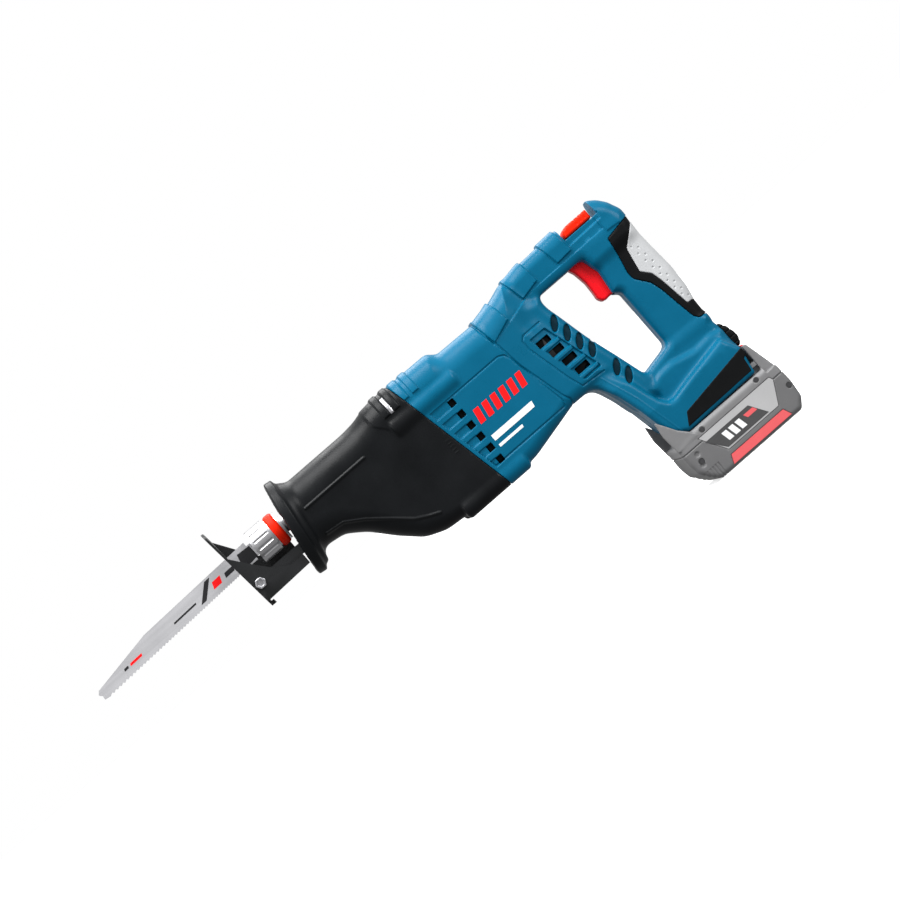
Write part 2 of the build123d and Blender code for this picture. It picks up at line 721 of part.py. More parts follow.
def housing_parts():
    """Left and right shells, grip overmould and grip pad."""
    outer = housing_form() & behind_joint()
    core = housing_form(grip_skin)
    black = prism(grip_black_outline, 60)
    grey = prism(grip_grey_outline, 60)
    skin = (outer & black) - core
    overmould = skin - grey
    pad = skin & grey

    cavity = housing_form(housing_wall) - prism(grip_black_outline, 60 + housing_wall, -housing_wall)
    cavity += housing_form(grip_skin + housing_wall)
    cavity -= block((300, 440), (-60, 60), (-190, foot_ceiling_z))
    cavity -= block((recess_x[0] - housing_wall, recess_x[1] + housing_wall), (-60, 60),
                    (recess_floor_z - housing_wall, 60))

    shell = outer - skin - cavity
    for x, z in boss_places:
        shell += cavity & rod_y(boss_radius if x < 330 else 3.9, -60, 60, x=x, z=z)
    for x in (238, 276):
        rib = cavity & block((x, x + housing_wall), (-60, 60), (-90, 40))
        rib -= rod_x(motor_radius, 200, 300, z=motor_axis_z)
        shell += rib - rod_x(plunger_tail_radius + 3, 200, 260)
    case_rib = cavity & block((189, 191.5), (-60, 60), (-60, 8)) & behind_joint()
    shell += case_rib - rod_z(chamber_radius + case_wall, pan_bottom_z, cover_top_z, x=gear_axis_x)

    for i in range(6):
        z = -16.5 - i * vent_pitch
        shell -= block((203.9, 209.9), (-60, 60), (z - 3.6, z + 3.6))
    for i in range(4):
        x, z = 293 + 4 * i, -28.5 - i * vent_pitch
        shell -= block((x, x + 14), (-60, 60), (z - 3.4, z + 3.4))
    shell -= foot_channel()
    shell -= terminal_block()
    window_half = trigger_half_width + body_gap + 0.1
    shell -= block((356, switch_x[0] - 0.5), (-window_half, window_half), (-37, 9.2))
    shell -= block(recess_x, (-60, 60), (recess_floor_z, 60))
    slot_x = (slider_foot_x[0] - 1.5, slider_foot_x[1] + lock_travel + 0.6)
    slot_half = slider_foot_half + body_gap + 0.1
    shell -= block(slot_x, (-slot_half, slot_half), (recess_floor_z - 4, recess_floor_z + 1))
    for cut in (foot_inlay(), mirror_y(foot_inlay())):
        shell -= cut
    for x, z in boss_places:
        shell -= rod_y(housing_screw_radius, -screw_depth, head_seat_y + 1, x=x, z=z)
        shell -= rod_y(housing_screw_head + 0.2, head_seat_y, 60, x=x, z=z)
    left = shell & block((100, 500), (-100, 0), (-300, 100))
    right = shell & block((100, 500), (0, 100), (-300, 100))
    return left, right, overmould, pad


# ---------------------------------------------------------------- controls and wiring
def trigger():
    outline = [(359.2, 8.5), (359.2, 3.9), (363.5, -15.9), (361.8, -28.8), (368.7, -36.5),
               (trigger_back_x, -36.5), (trigger_back_x, 8.5)]
    body = prism(outline, trigger_half_width)
    return fillet(body.edges().filter_by(Axis.Y).group_by(Axis.X)[0], 1.0)


def trigger_spring():
    """Compression spring between the trigger and the switch."""
    wire = 0.45
    length = switch_x[0] - trigger_back_x - 2 * wire - 0.02
    path = Helix(pitch=length / 4, height=length, radius=3.2)
    start = Plane(origin=path @ 0, z_dir=path % 0)
    spring = sweep(start * Circle(wire), path=path, is_frenet=True)
    return Pos(trigger_back_x + wire + 0.01, 0, -8) * Rot(0, 90, 0) * spring


def switch_module():
    body = block(switch_x, (-12, 12), (-18, 20))
    return fillet(body.edges().filter_by(Axis.X), 2)


def lock_slider():
    """Red slide button in the recess of the handle's top."""
    front, back = slider_x
    cap = prism([(front, 25.3), (front + 0.8, 30), (front + 4.3, 33.4), (396, 34.3), (back, 34.3),
                 (back, 25.3)], slider_half_width)
    for x in (395, 398, 401):
        cap -= block((x, x + 1.4), (-20, 20), (33.2, 40))
    return cap + block(slider_foot_x, (-slider_foot_half, slider_foot_half), (21.5, 26))


def terminal_block():
    """Terminal carrier that closes the window in the foot's ceiling."""
    plug = block((348, 370), (-18, 18), (battery_top_z + 10.2, foot_ceiling_z))
    return plug + block((346, 372), (-20, 20), (foot_ceiling_z, foot_ceiling_z + 8))


def contact_blades():
    return solid_group([
        block((352, 366), (y - 0.4, y + 0.4), (battery_top_z + 2, battery_top_z + 10.2))
        for y in blade_contacts_y
    ])


def control_board():
    """Switching board with its capacitors and power stage."""
    half, z0, z1 = 16, -126, -124.4
    board = block((352, 388), (-half, half), (z0, z1))
    for x, y in ((360, -9), (372, 9), (363.5, 9)):
        board += rod_z(3.5, z1, z1 + 7, x=x, y=y)
    board += block((376, 384), (-14, -3), (z1, z1 + 3.4))
    return board


def wire_along(points, bend):
    path = FilletPolyline(*points, radius=bend)
    start = Plane(origin=path @ 0, z_dir=path % 0)
    return sweep(start * Circle(lead_radius), path=path)


def power_leads():
    """Leads from the terminal block up the grip to the switch."""
    return [
        wire_along([(366, y, foot_ceiling_z + 8), (366, y, -136), (401, y, -128), (401, y, -18)], 6)
        for y in (-4, 4)
    ]


def motor_leads():
    """Leads from the switch along the handle down to the brushes."""
    end_y = 8.0
    end_z = motor_axis_z + (motor_radius**2 - (end_y - lead_radius)**2) ** 0.5 + 0.02
    return [
        wire_along([(switch_x[0], 5 * side, 15), (304, 5 * side, 15), (289, end_y * side, -3),
                    (289, end_y * side, end_z)], 5)
        for side in (-1, 1)
    ]


# ---------------------------------------------------------------- battery
battery_outline = [
    (324.3, battery_top_z - 3), (324.3, -190), (325.7, -200.4), (331.8, -209), (338.6, battery_bottom_z),
    (429.6, battery_bottom_z), (436.5, -207.3), (438.2, -191.8), (437.3, -174.7), (432.2, -153.2),
    (429.5, -142.4), (426, -142.4), (426, battery_top_z), (340, battery_top_z),
]
cell_pitch_x = 19.0
cell_first_x = 344.5
cell_rows_z = (-204.2, -185.4)
upright_half_width = 30.0
battery_shoulder_z = -172.5


def battery_form(inset=0.0):
    body = prism(battery_outline, battery_half_width, inset)
    body = body & section_limit(battery_half_width, battery_bottom_z, -100, 6, inset)
    wide = block((300, 426), (-60, 60), (-300, 0))
    wide += block((426, 500), (-60, 60), (-300, battery_shoulder_z - inset))
    narrow = block((300, 500), (-upright_half_width + inset, upright_half_width - inset), (-300, 0))
    return body & (wide + narrow)


def battery_cheek():
    outline = [(324.9, -142.1), (330, -150), (336, -160), (345, battery_top_z), (345, -173),
               (324.3, -173), (322.9, -157.5)]
    return side_prism(outline, foot_half_width + body_gap + 0.2, battery_half_width)


def battery_rail():
    x = (rail_front_x, 426.5)
    neck = block(x, (-rail_neck_half, rail_neck_half), (battery_top_z - 1, battery_top_z + 5.4))
    head = block(x, (-rail_head_half, rail_head_half), (battery_top_z + 5.2, battery_top_z + 9.6))
    rail = neck + head
    for y in blade_contacts_y:
        rail -= block((rail_front_x - 1, 368), (y - 0.9, y + 0.9), (battery_top_z + 1, battery_top_z + 12))
    return rail


def battery_parts():
    """Upper and lower case halves of the pack."""
    form = battery_form()
    cavity = battery_form(battery_wall) & block((300, 500), (-60, 60), (-300, battery_top_z - battery_wall))
    shell = form - cavity
    above = block((300, 500), (-60, 60), (battery_seam_z, 0))
    upper = (shell & above) + battery_rail() + battery_cheek() + mirror_y(battery_cheek())
    upper -= release_pocket()
    lower = shell & block((300, 500), (-60, 60), (-300, battery_seam_z))
    for y_sign in (-1, 1):
        upper -= badge_plate(y_sign)
        lower -= badge_plate(y_sign)
        lower -= stripe_plate(y_sign)
        for screw in battery_screw_solids(y_sign):
            upper -= screw
            lower -= screw
    return upper, lower


def flank_plate(points, y_sign, depth):
    plate = side_prism(points, battery_half_width - depth, battery_half_width + 0.4)
    return plate if y_sign > 0 else mirror_y(plate)


def badge_plate(y_sign):
    return flank_plate([(345, -177.6), (424.6, -177.6), (426.3, -181), (415.2, -200.8), (409, -200.8),
                        (408, -199.8), (359, -199.8)], y_sign, 0.8)


def stripe_plate(y_sign):
    return flank_plate([(357.5, -205.6), (416, -205.6), (419.3, -213), (354.1, -213)], y_sign, 0.8)


def battery_screw_solids(y_sign):
    places = [(352.5, -173.2), (415.2, -171.4), (434, -193.5), (334.5, -193.5)]
    screws = []
    for x, z in places:
        screw = rod_y(2.2, battery_half_width - 1.2, battery_half_width - 0.2, x=x, z=z)
        screw += rod_y(1.1, battery_half_width - 4, battery_half_width - 1.1, x=x, z=z)
        screws.append(screw if y_sign > 0 else mirror_y(screw))
    return screws


def release_pocket():
    half = 16 + body_gap
    return block((427.3 - body_gap, 433.3), (-half, half), (-164, -140))


def release_button():
    """Red latch button in the top of the pack's rear wall."""
    button = block((427.3, 433), (-16, 16), (-164 + release_travel + body_gap, -141.6))
    limit = prism([(427, -141), (430.2, -141), (433, -153), (433, -170), (427, -170)], 20)
    return button & limit


def cells():
    return solid_group([
        rod_y(cell_radius, -cell_length / 2, cell_length / 2, x=cell_first_x + i * cell_pitch_x, z=z)
        for i in range(5)
        for z in cell_rows_z
    ])


def cell_holders():
    room = battery_form(battery_wall + 0.1) & block((300, 500), (20, 23), (-300, -174.8))
    for i in range(5):
        for z in cell_rows_z:
            room -= rod_y(cell_radius, -60, 60, x=cell_first_x + i * cell_pitch_x, z=z)
    return solid_group([room, mirror_y(room)])


def battery_board():
    board = block((348, 418), (-28, 28), (battery_top_z - 5, battery_top_z - 3.4))
    for y in blade_contacts_y:
        board += block((352, 366), (y - 3, y + 3), (battery_top_z - 3.4, battery_top_z - 2.6))
    return board


# ---------------------------------------------------------------- write every node
def main():
    save("blade", blade())
    save("clamp_core", clamp_core())
    save("clamp_lock_pin", clamp_lock_pin())
    save("clamp_sleeve", clamp_sleeve())
    save("clamp_ring", clamp_ring())
    save("clamp_retainer", clamp_retainer())
    save("plunger", plunger())
    save("crank_disc", crank_disc())
    save("crank_pin", crank_pin())
    save("crank_roller", crank_roller())
    save("gear_shaft", gear_shaft())
    save("crown_gear", crown_gear())
    save("motor_pinion", motor_pinion())
    save("gear_bearings", gear_bearings())
    cover, case, pan = case_parts()
    save("gear_case_cover", cover)
    save("gear_case", case)
    save("gear_case_pan", pan)
    save("case_screws", solid_group(case_screw_solids() + bracket_screw_solids()))
    save("plunger_bushes", plunger_bushes())
    save("plunger_seal", plunger_seal())
    save("motor_front_plate", motor_front_plate())
    save("motor_can", motor_can())
    save("magnets", magnets())
    save("rotor_shaft", rotor_shaft())
    save("armature_core", armature_core())
    save("armature_windings", armature_windings())
    save("commutator", commutator())
    save("fan", fan())
    save("brush_plate", brush_plate())
    save("brushes", brushes())
    save("motor_end_cap", motor_end_cap())
    save("motor_bearings", motor_bearings())
    save("shoe", shoe())
    save("shoe_bracket", shoe_bracket())
    save("shoe_pivot_bolt", shoe_pivot_bolt())
    save("front_boot", front_boot())
    save("boot_clips", solid_group(boot_clip_solids()))
    left, right, overmould, pad = housing_parts()
    save("housing_left", left)
    save("housing_right", right)
    save("grip_overmould", overmould)
    save("grip_pad", pad)
    save("housing_screws", solid_group(housing_screw_solids()))
    save("foot_bumpers", foot_bumpers())
    save("trigger", trigger())
    save("trigger_spring", trigger_spring())
    save("switch_module", switch_module())
    save("lock_slider", lock_slider())
    save("terminal_block", terminal_block())
    save("contact_blades", contact_blades())
    save("control_board", control_board())
    save("wiring", solid_group(power_leads() + motor_leads()))
    upper, lower = battery_parts()
    save("battery_upper_case", upper)
    save("battery_lower_case", lower)
    save("battery_badges", solid_group([badge_plate(-1), badge_plate(1)]))
    save("battery_stripes", solid_group([stripe_plate(-1), stripe_plate(1)]))
    save("battery_screws", solid_group(battery_screw_solids(-1) + battery_screw_solids(1)))
    save("battery_cells", cells())
    save("cell_holders", cell_holders())
    save("battery_board", battery_board())
    save("release_button", release_button())


main()
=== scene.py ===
import json
from math import cos, radians, sin, sqrt

import bmesh
import bpy
import numpy as np
import openvdb
from mathutils import Matrix, Vector


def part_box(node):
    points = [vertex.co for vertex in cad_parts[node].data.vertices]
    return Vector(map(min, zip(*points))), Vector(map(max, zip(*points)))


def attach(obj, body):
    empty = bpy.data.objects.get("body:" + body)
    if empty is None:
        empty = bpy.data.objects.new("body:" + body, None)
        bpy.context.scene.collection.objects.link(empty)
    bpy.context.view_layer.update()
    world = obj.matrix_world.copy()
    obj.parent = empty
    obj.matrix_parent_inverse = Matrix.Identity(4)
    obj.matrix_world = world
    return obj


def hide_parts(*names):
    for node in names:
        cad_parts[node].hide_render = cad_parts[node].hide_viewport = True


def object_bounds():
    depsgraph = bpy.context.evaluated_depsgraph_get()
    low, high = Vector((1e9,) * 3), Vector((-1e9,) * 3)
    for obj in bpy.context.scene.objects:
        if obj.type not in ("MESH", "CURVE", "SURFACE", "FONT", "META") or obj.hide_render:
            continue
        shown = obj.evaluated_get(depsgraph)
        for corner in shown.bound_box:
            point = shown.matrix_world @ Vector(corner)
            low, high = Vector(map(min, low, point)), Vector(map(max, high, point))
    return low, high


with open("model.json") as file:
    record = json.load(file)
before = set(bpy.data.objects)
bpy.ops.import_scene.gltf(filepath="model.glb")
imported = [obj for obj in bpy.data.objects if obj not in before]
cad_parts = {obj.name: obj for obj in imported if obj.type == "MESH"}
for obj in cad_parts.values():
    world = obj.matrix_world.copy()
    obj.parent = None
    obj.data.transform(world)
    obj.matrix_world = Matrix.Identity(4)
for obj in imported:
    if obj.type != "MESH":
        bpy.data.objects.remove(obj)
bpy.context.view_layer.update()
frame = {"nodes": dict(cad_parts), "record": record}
COARSE = 1.0     # grid step factor while trying things
MM = 0.001


# ---------------------------------------------------------------- distance fields, in millimetres
class Space:
    """Grid of points on which a form's signed distance is worked out."""

    def __init__(self, low, high, step):
        self.step = step * COARSE
        self.low = np.array(low, float)
        counts = [int((b - a) / self.step) + 2 for a, b in zip(low, high)]
        self.x, self.y, self.z = [
            (a + self.step * np.arange(n, dtype=np.float32)).reshape(shape)
            for a, n, shape in zip(low, counts, ((-1, 1, 1), (1, -1, 1), (1, 1, -1)))
        ]
        self.ay = np.abs(self.y)


def eased(points, soft):
    """The polygon with each corner cut back and rounded by about soft."""
    out = []
    for i, p in enumerate(points):
        p = np.array(p, float)
        a, b = np.array(points[i - 1], float) - p, np.array(points[(i + 1) % len(points)], float) - p
        start = p + a * min(0.45, soft / np.hypot(*a))
        end = p + b * min(0.45, soft / np.hypot(*b))
        for t in (0.0, 0.25, 0.5, 0.75, 1.0):
            out.append(tuple((1 - t) ** 2 * start + 2 * t * (1 - t) * p + t * t * end))
    return out


def shape2(s, points, soft=0.0):
    """Signed distance to a closed outline in X and Z."""
    points = eased(points, soft) if soft else list(points)
    near, inside = None, None
    for (x0, z0), (x1, z1) in zip(points, points[1:] + points[:1]):
        dx, dz = x1 - x0, z1 - z0
        ux, uz = s.x - x0, s.z - z0
        t = np.clip((ux * dx + uz * dz) / (dx * dx + dz * dz + 1e-9), 0, 1)
        gap = (ux - t * dx) ** 2 + (uz - t * dz) ** 2
        crossed = ((z0 > s.z) != (z1 > s.z)) & (s.x < dx * (s.z - z0) / (dz or 1e-9) + x0)
        near = gap if near is None else np.minimum(near, gap)
        inside = crossed if inside is None else inside ^ crossed
    return (np.sqrt(near) * np.where(inside, -1, 1)).astype(np.float32)


def path2(s, points):
    """Distance to an open line in X and Z."""
    near = None
    for (x0, z0), (x1, z1) in zip(points, points[1:]):
        dx, dz = x1 - x0, z1 - z0
        ux, uz = s.x - x0, s.z - z0
        t = np.clip((ux * dx + uz * dz) / (dx * dx + dz * dz), 0, 1)
        gap = (ux - t * dx) ** 2 + (uz - t * dz) ** 2
        near = gap if near is None else np.minimum(near, gap)
    return np.sqrt(near)


def mask(distance, edge=1.0):
    """1 inside, 0 outside, smooth over the edge width."""
    t = np.clip(0.5 - distance / edge, 0, 1)
    return t * t * (3 - 2 * t)


def slab(a, b, r):
    """Intersection of two fields with a rounded edge of radius r."""
    a, b = a + r, b + r
    return np.minimum(np.maximum(a, b), 0) + np.sqrt(np.maximum(a, 0) ** 2 + np.maximum(b, 0) ** 2) - r


def join(a, b, k):
    """Union with a fillet of about k."""
    h = np.clip(0.5 + 0.5 * (b - a) / k, 0, 1)
    return b + (a - b) * h - k * h * (1 - h)


def bar(s, x, z, y=None):
    """Field of a box given by (low, high) pairs; without y it runs right through."""
    d = np.maximum(np.maximum(x[0] - s.x, s.x - x[1]), np.maximum(z[0] - s.z, s.z - z[1]))
    return d if y is None else np.maximum(d, np.maximum(y[0] - s.y, s.y - y[1]))


def rib(s, x0, x1, y, z, r, end=3.0):
    """Round ridge along X on both sides, its ends rounded."""
    return slab(np.sqrt((s.ay - y) ** 2 + (s.z - z) ** 2) - r, np.maximum(x0 - s.x, s.x - x1), end)


def sampled(field, at):
    """Field value at points given in grid steps."""
    top = np.array(field.shape) - 2
    base = np.clip(np.floor(at).astype(int), 0, top)
    f = np.clip(at - base, 0, 1)
    total = 0
    for i in (0, 1):
        for j in (0, 1):
            for k in (0, 1):
                w = np.abs(1 - i - f[:, 0]) * np.abs(1 - j - f[:, 1]) * np.abs(1 - k - f[:, 2])
                total = total + w * field[base[:, 0] + i, base[:, 1] + j, base[:, 2] + k]
    return total


def surface(s, field, name, body, finish, nodes=(), flip=False, detail=0.01):
    """Mesh of the field's zero level, shaded with the field's own slope."""
    field = np.clip(field / s.step, -3, 3).astype(np.float32)
    grid = openvdb.FloatGrid()
    grid.background = 3.0
    grid.copyFromArray(np.ascontiguousarray(field))
    points, tris, quads = grid.convertToPolygons(0.0, detail)
    slope = np.stack([
        sampled(field, points + step) - sampled(field, points - step)
        for step in 0.45 * np.eye(3)
    ], 1)
    slope /= np.linalg.norm(slope, axis=1, keepdims=True) + 1e-9
    co = points * s.step + s.low
    faces = [list(map(int, f)) for f in tris] + [list(map(int, f)) for f in quads]
    probe = faces[:: max(1, len(faces) // 400)]
    turned = 0.0
    for f in probe:
        normal = np.cross(co[f[1]] - co[f[0]], co[f[2]] - co[f[0]])
        turned += float(normal @ slope[f[0]])
    if flip:
        co[:, 1] *= -1
        slope[:, 1] *= -1
    if (turned < 0) != flip:
        faces = [f[::-1] for f in faces]
    mesh = bpy.data.meshes.new(name)
    mesh.from_pydata((co * MM).tolist(), [], faces)
    mesh.update()
    mesh.polygons.foreach_set("use_smooth", [True] * len(mesh.polygons))
    mesh.normals_split_custom_set_from_vertices(slope.tolist())
    return placed(name, mesh, body, finish, nodes)


def placed(name, mesh, body, finish, nodes=()):
    piece = bpy.data.objects.new(name, mesh)
    bpy.context.scene.collection.objects.link(piece)
    mesh.materials.clear()
    mesh.materials.append(finish)
    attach(piece, body)
    if nodes:
        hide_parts(*nodes)
    return piece


def plate(name, points, y0, y1, body, finish, nodes=(), bevel=0.0, both=True):
    """Thin plate with an XZ outline between two Y positions, on one or both sides."""
    made = bmesh.new()
    for side in (-1, 1) if both else (-1,):
        low = [made.verts.new((x * MM, side * y0 * MM, z * MM)) for x, z in points]
        high = [made.verts.new((x * MM, side * y1 * MM, z * MM)) for x, z in points]
        made.faces.new(low)
        made.faces.new(high[::-1])
        for i in range(len(points)):
            j = (i + 1) % len(points)
            made.faces.new((low[j], low[i], high[i], high[j]))
    bmesh.ops.recalc_face_normals(made, faces=made.faces)
    if bevel:
        bmesh.ops.bevel(made, geom=made.edges, offset=bevel * MM, segments=2, affect="EDGES",
                        clamp_overlap=True)
    mesh = bpy.data.meshes.new(name)
    made.to_mesh(mesh)
    made.free()
    return placed(name, mesh, body, finish, nodes)


# ---------------------------------------------------------------- finishes
def finish(name, colour, rough, metal=0.0, grain=900.0, depth=0.02, mottle=0.12, worn=None, stretch=(1, 1, 1),
           coat=0.0, spec=0.5, streak=0.0, rough_spread=0.08):
    """Procedural finish: fine grain, patchy roughness and tone, and paler edges where worn is given."""
    m = bpy.data.materials.new(name)
    m.use_nodes = True
    tree = m.node_tree
    tree.nodes.clear()
    new, link = tree.nodes.new, tree.links.new
    out = new("ShaderNodeOutputMaterial")
    shader = new("ShaderNodeBsdfPrincipled")
    link(shader.outputs["BSDF"], out.inputs["Surface"])
    shader.inputs["Metallic"].default_value = metal
    shader.inputs["Specular IOR Level"].default_value = spec
    shader.inputs["Coat Weight"].default_value = coat
    shader.inputs["Coat Roughness"].default_value = 0.15
    place = new("ShaderNodeTexCoord")
    turn = new("ShaderNodeMapping")
    turn.inputs["Scale"].default_value = stretch
    link(place.outputs["Object"], turn.inputs["Vector"])

    patches = new("ShaderNodeTexNoise")
    patches.inputs["Scale"].default_value = 38
    patches.inputs["Detail"].default_value = 5
    link(place.outputs["Object"], patches.inputs["Vector"])
    fine = new("ShaderNodeTexNoise")
    fine.inputs["Scale"].default_value = grain
    fine.inputs["Detail"].default_value = 3
    link(turn.outputs["Vector"], fine.inputs["Vector"])

    tone = new("ShaderNodeValToRGB")
    dark = [c * (1 - mottle) for c in colour] + [1]
    light = [min(1, c * (1 + mottle) + 0.001) for c in colour] + [1]
    tone.color_ramp.elements[0].position = 0.3
    tone.color_ramp.elements[0].color = dark
    tone.color_ramp.elements[1].position = 0.72
    tone.color_ramp.elements[1].color = light
    blend = new("ShaderNodeMix")
    blend.inputs["Factor"].default_value = 0.35 + streak
    link(patches.outputs["Fac"], blend.inputs["A"])
    link(fine.outputs["Fac"], blend.inputs["B"])
    link(blend.outputs["Result"], tone.inputs["Fac"])
    colour_from = tone.outputs["Color"]
    if worn:
        corner = new("ShaderNodeNewGeometry")
        pick = new("ShaderNodeMapRange")
        pick.inputs["From Min"].default_value = 0.53
        pick.inputs["From Max"].default_value = 0.66
        pick.inputs["To Max"].default_value = 0.35
        link(corner.outputs["Pointiness"], pick.inputs["Value"])
        rub = new("ShaderNodeMix")
        rub.data_type = "RGBA"
        rub.inputs["B"].default_value = [*worn, 1]
        link(pick.outputs["Result"], rub.inputs["Factor"])
        link(colour_from, rub.inputs["A"])
        colour_from = rub.outputs["Result"]
    link(colour_from, shader.inputs["Base Color"])

    gloss = new("ShaderNodeMapRange")
    gloss.inputs["From Min"].default_value = 0.3
    gloss.inputs["From Max"].default_value = 0.7
    gloss.inputs["To Min"].default_value = max(0.03, rough - rough_spread)
    gloss.inputs["To Max"].default_value = min(1.0, rough + rough_spread)
    link(blend.outputs["Result"], gloss.inputs["Value"])
    link(gloss.outputs["Result"], shader.inputs["Roughness"])

    bump = new("ShaderNodeBump")
    bump.inputs["Strength"].default_value = 0.5
    bump.inputs["Distance"].default_value = depth * MM
    link(fine.outputs["Fac"], bump.inputs["Height"])
    link(bump.outputs["Normal"], shader.inputs["Normal"])
    return m


BLUE = finish("moulded_blue", (0.0, 0.106, 0.200), 0.32, spec=0.11, grain=1100, depth=0.10, mottle=0.10,
              worn=(0.005, 0.2, 0.34))
BOOT = finish("boot_rubber", (0.005, 0.0058, 0.0068), 0.36, spec=0.12, grain=1500, depth=0.12, mottle=0.25,
              rough_spread=0.1, worn=(0.05, 0.05, 0.052))
GRIP = finish("grip_rubber", (0.003, 0.0035, 0.004), 0.5, spec=0.10, grain=1800, depth=0.2, mottle=0.3)
PAD = finish("grey_pad_rubber", (0.50, 0.51, 0.52), 0.6, spec=0.2, grain=1800, depth=0.2, mottle=0.07)
RED = finish("red_plastic", (0.95, 0.006, 0.014), 0.34, grain=900, depth=0.03, mottle=0.06, spec=0.15,
             worn=(0.95, 0.12, 0.08))
SLIDER = finish("red_slider", (0.92, 0.02, 0.003), 0.42, grain=900, depth=0.03, mottle=0.06, spec=0.08)
BLADE = finish("ground_steel", (0.56, 0.56, 0.58), 0.42, metal=0.5, grain=320, depth=0.003, mottle=0.07,
               stretch=(0.03, 1, 1), streak=0.3)
CHROME = finish("chromed_steel", (0.50, 0.50, 0.515), 0.30, metal=1.0, grain=300, depth=0.02, mottle=0.06,
                rough_spread=0.05)
BLACK_STEEL = finish("black_sheet_steel", (0.006, 0.007, 0.007), 0.33, spec=0.18, grain=1200, depth=0.1,
                     mottle=0.3, worn=(0.06, 0.06, 0.065), rough_spread=0.1)
STEEL = finish("machined_steel", (0.48, 0.48, 0.50), 0.3, metal=1.0, grain=420, depth=0.05, mottle=0.12,
               stretch=(0.15, 1, 1), streak=0.3)
ALUMINIUM = finish("cast_aluminium", (0.50, 0.51, 0.53), 0.5, metal=0.9, grain=700, depth=0.3, mottle=0.12)
BRONZE = finish("sintered_bronze", (0.50, 0.33, 0.15), 0.45, metal=0.9, grain=1400, depth=0.1)
COPPER = finish("wound_copper", (0.66, 0.27, 0.12), 0.3, metal=0.95, grain=160, depth=0.5, mottle=0.25,
                stretch=(8, 1, 1), streak=0.4)
MAGNET = finish("sintered_magnet", (0.10, 0.10, 0.11), 0.5, metal=0.5, grain=900, depth=0.1)
CARBON = finish("carbon", (0.05, 0.05, 0.05), 0.65, grain=1500, depth=0.1)
INNER = finish("inner_plastic", (0.035, 0.035, 0.038), 0.5, grain=900, depth=0.08)
FELT = finish("felt", (0.28, 0.26, 0.22), 0.95, grain=2200, depth=0.6, mottle=0.25)
BOARD = finish("board_green", (0.02, 0.18, 0.07), 0.4, grain=500, depth=0.03, mottle=0.2)
LEAD = finish("lead_red", (0.45, 0.03, 0.02), 0.42, grain=900, depth=0.03)
PACK = finish("pack_grey", (0.18, 0.18, 0.184), 0.5, grain=1200, depth=0.14, mottle=0.08,
              worn=(0.24, 0.24, 0.245))
PACK_LOW = finish("pack_grey_lower", (0.13, 0.13, 0.133), 0.5, grain=1200, depth=0.14, mottle=0.08,
                  worn=(0.22, 0.22, 0.225))
BADGE = finish("badge_light", (0.42, 0.42, 0.425), 0.36, grain=800, depth=0.02, mottle=0.05)
BADGE_DARK = finish("badge_dark", (0.055, 0.055, 0.057), 0.36, grain=800, depth=0.02, mottle=0.12)
STRIPE = finish("stripe_red", (0.74, 0.11, 0.12), 0.35, spec=0.3, grain=800, depth=0.02, mottle=0.05)
CELL = finish("cell_wrap", (0.06, 0.28, 0.42), 0.25, grain=300, depth=0.02, mottle=0.08)
PRINT_RED = finish("print_red", (1.0, 0.006, 0.008), 0.4, spec=0.2, grain=1500, depth=0.01, mottle=0.04)
PRINT_WHITE = finish("print_white", (0.85, 0.87, 0.88), 0.4, grain=1500, depth=0.01, mottle=0.03)
PRINT_BLACK = finish("print_black", (0.02, 0.02, 0.022), 0.4, spec=0.2, grain=1500, depth=0.01, mottle=0.1)
ZINC = finish("zinc_steel", (0.42, 0.42, 0.44), 0.32, metal=0.9, grain=600, depth=0.04, mottle=0.15)
SCREW = finish("dark_screw", (0.10, 0.10, 0.104), 0.35, metal=0.9, grain=600, depth=0.04, mottle=0.15)
# painted shade: dark navy finish for sheets that stand in for the shade in the strut's slot recesses
SLOT_SHADE = finish("slot_painted_shade", (0.0, 0.016, 0.028), 0.6, spec=0.1, grain=1400, depth=0.1, mottle=0.2)
# painted shade: near-black finish for sheets that stand in for the shade inside the housing behind the vents
VENT_SHADE = finish("vent_filter_black", (0.0015, 0.002, 0.0025), 0.7, spec=0.05, grain=1600, depth=0.2, mottle=0.3)

FINISHES = {
    "housing_blue": BLUE, "boot_black": BOOT, "grip_black": GRIP, "grip_grey": PAD, "signal_red": RED,
    "blade_steel": BLADE, "bright_steel": CHROME, "black_steel": BLACK_STEEL, "plain_steel": STEEL,
    "case_aluminium": ALUMINIUM, "bronze": BRONZE, "copper": COPPER, "magnet_dark": MAGNET, "carbon": CARBON,
    "inner_plastic": INNER, "felt": FELT, "board_green": BOARD, "lead_red": LEAD, "battery_grey": PACK,
    "badge_grey": BADGE, "stripe_red": STRIPE, "cell_wrap": CELL,
}
for entry in frame["record"]["subparts"]:
    node = frame["nodes"][entry["node"]]
    node.data.materials.clear()
    node.data.materials.append(FINISHES[entry["material_slot"]])
for name in ("battery_screws", "housing_screws"):
    frame["nodes"][name].data.materials[0] = SCREW
frame["nodes"]["clamp_ring"].data.materials[0] = SLIDER
for name in ("shoe_bracket", "motor_can", "motor_end_cap"):
    frame["nodes"][name].data.materials[0] = BLACK_STEEL

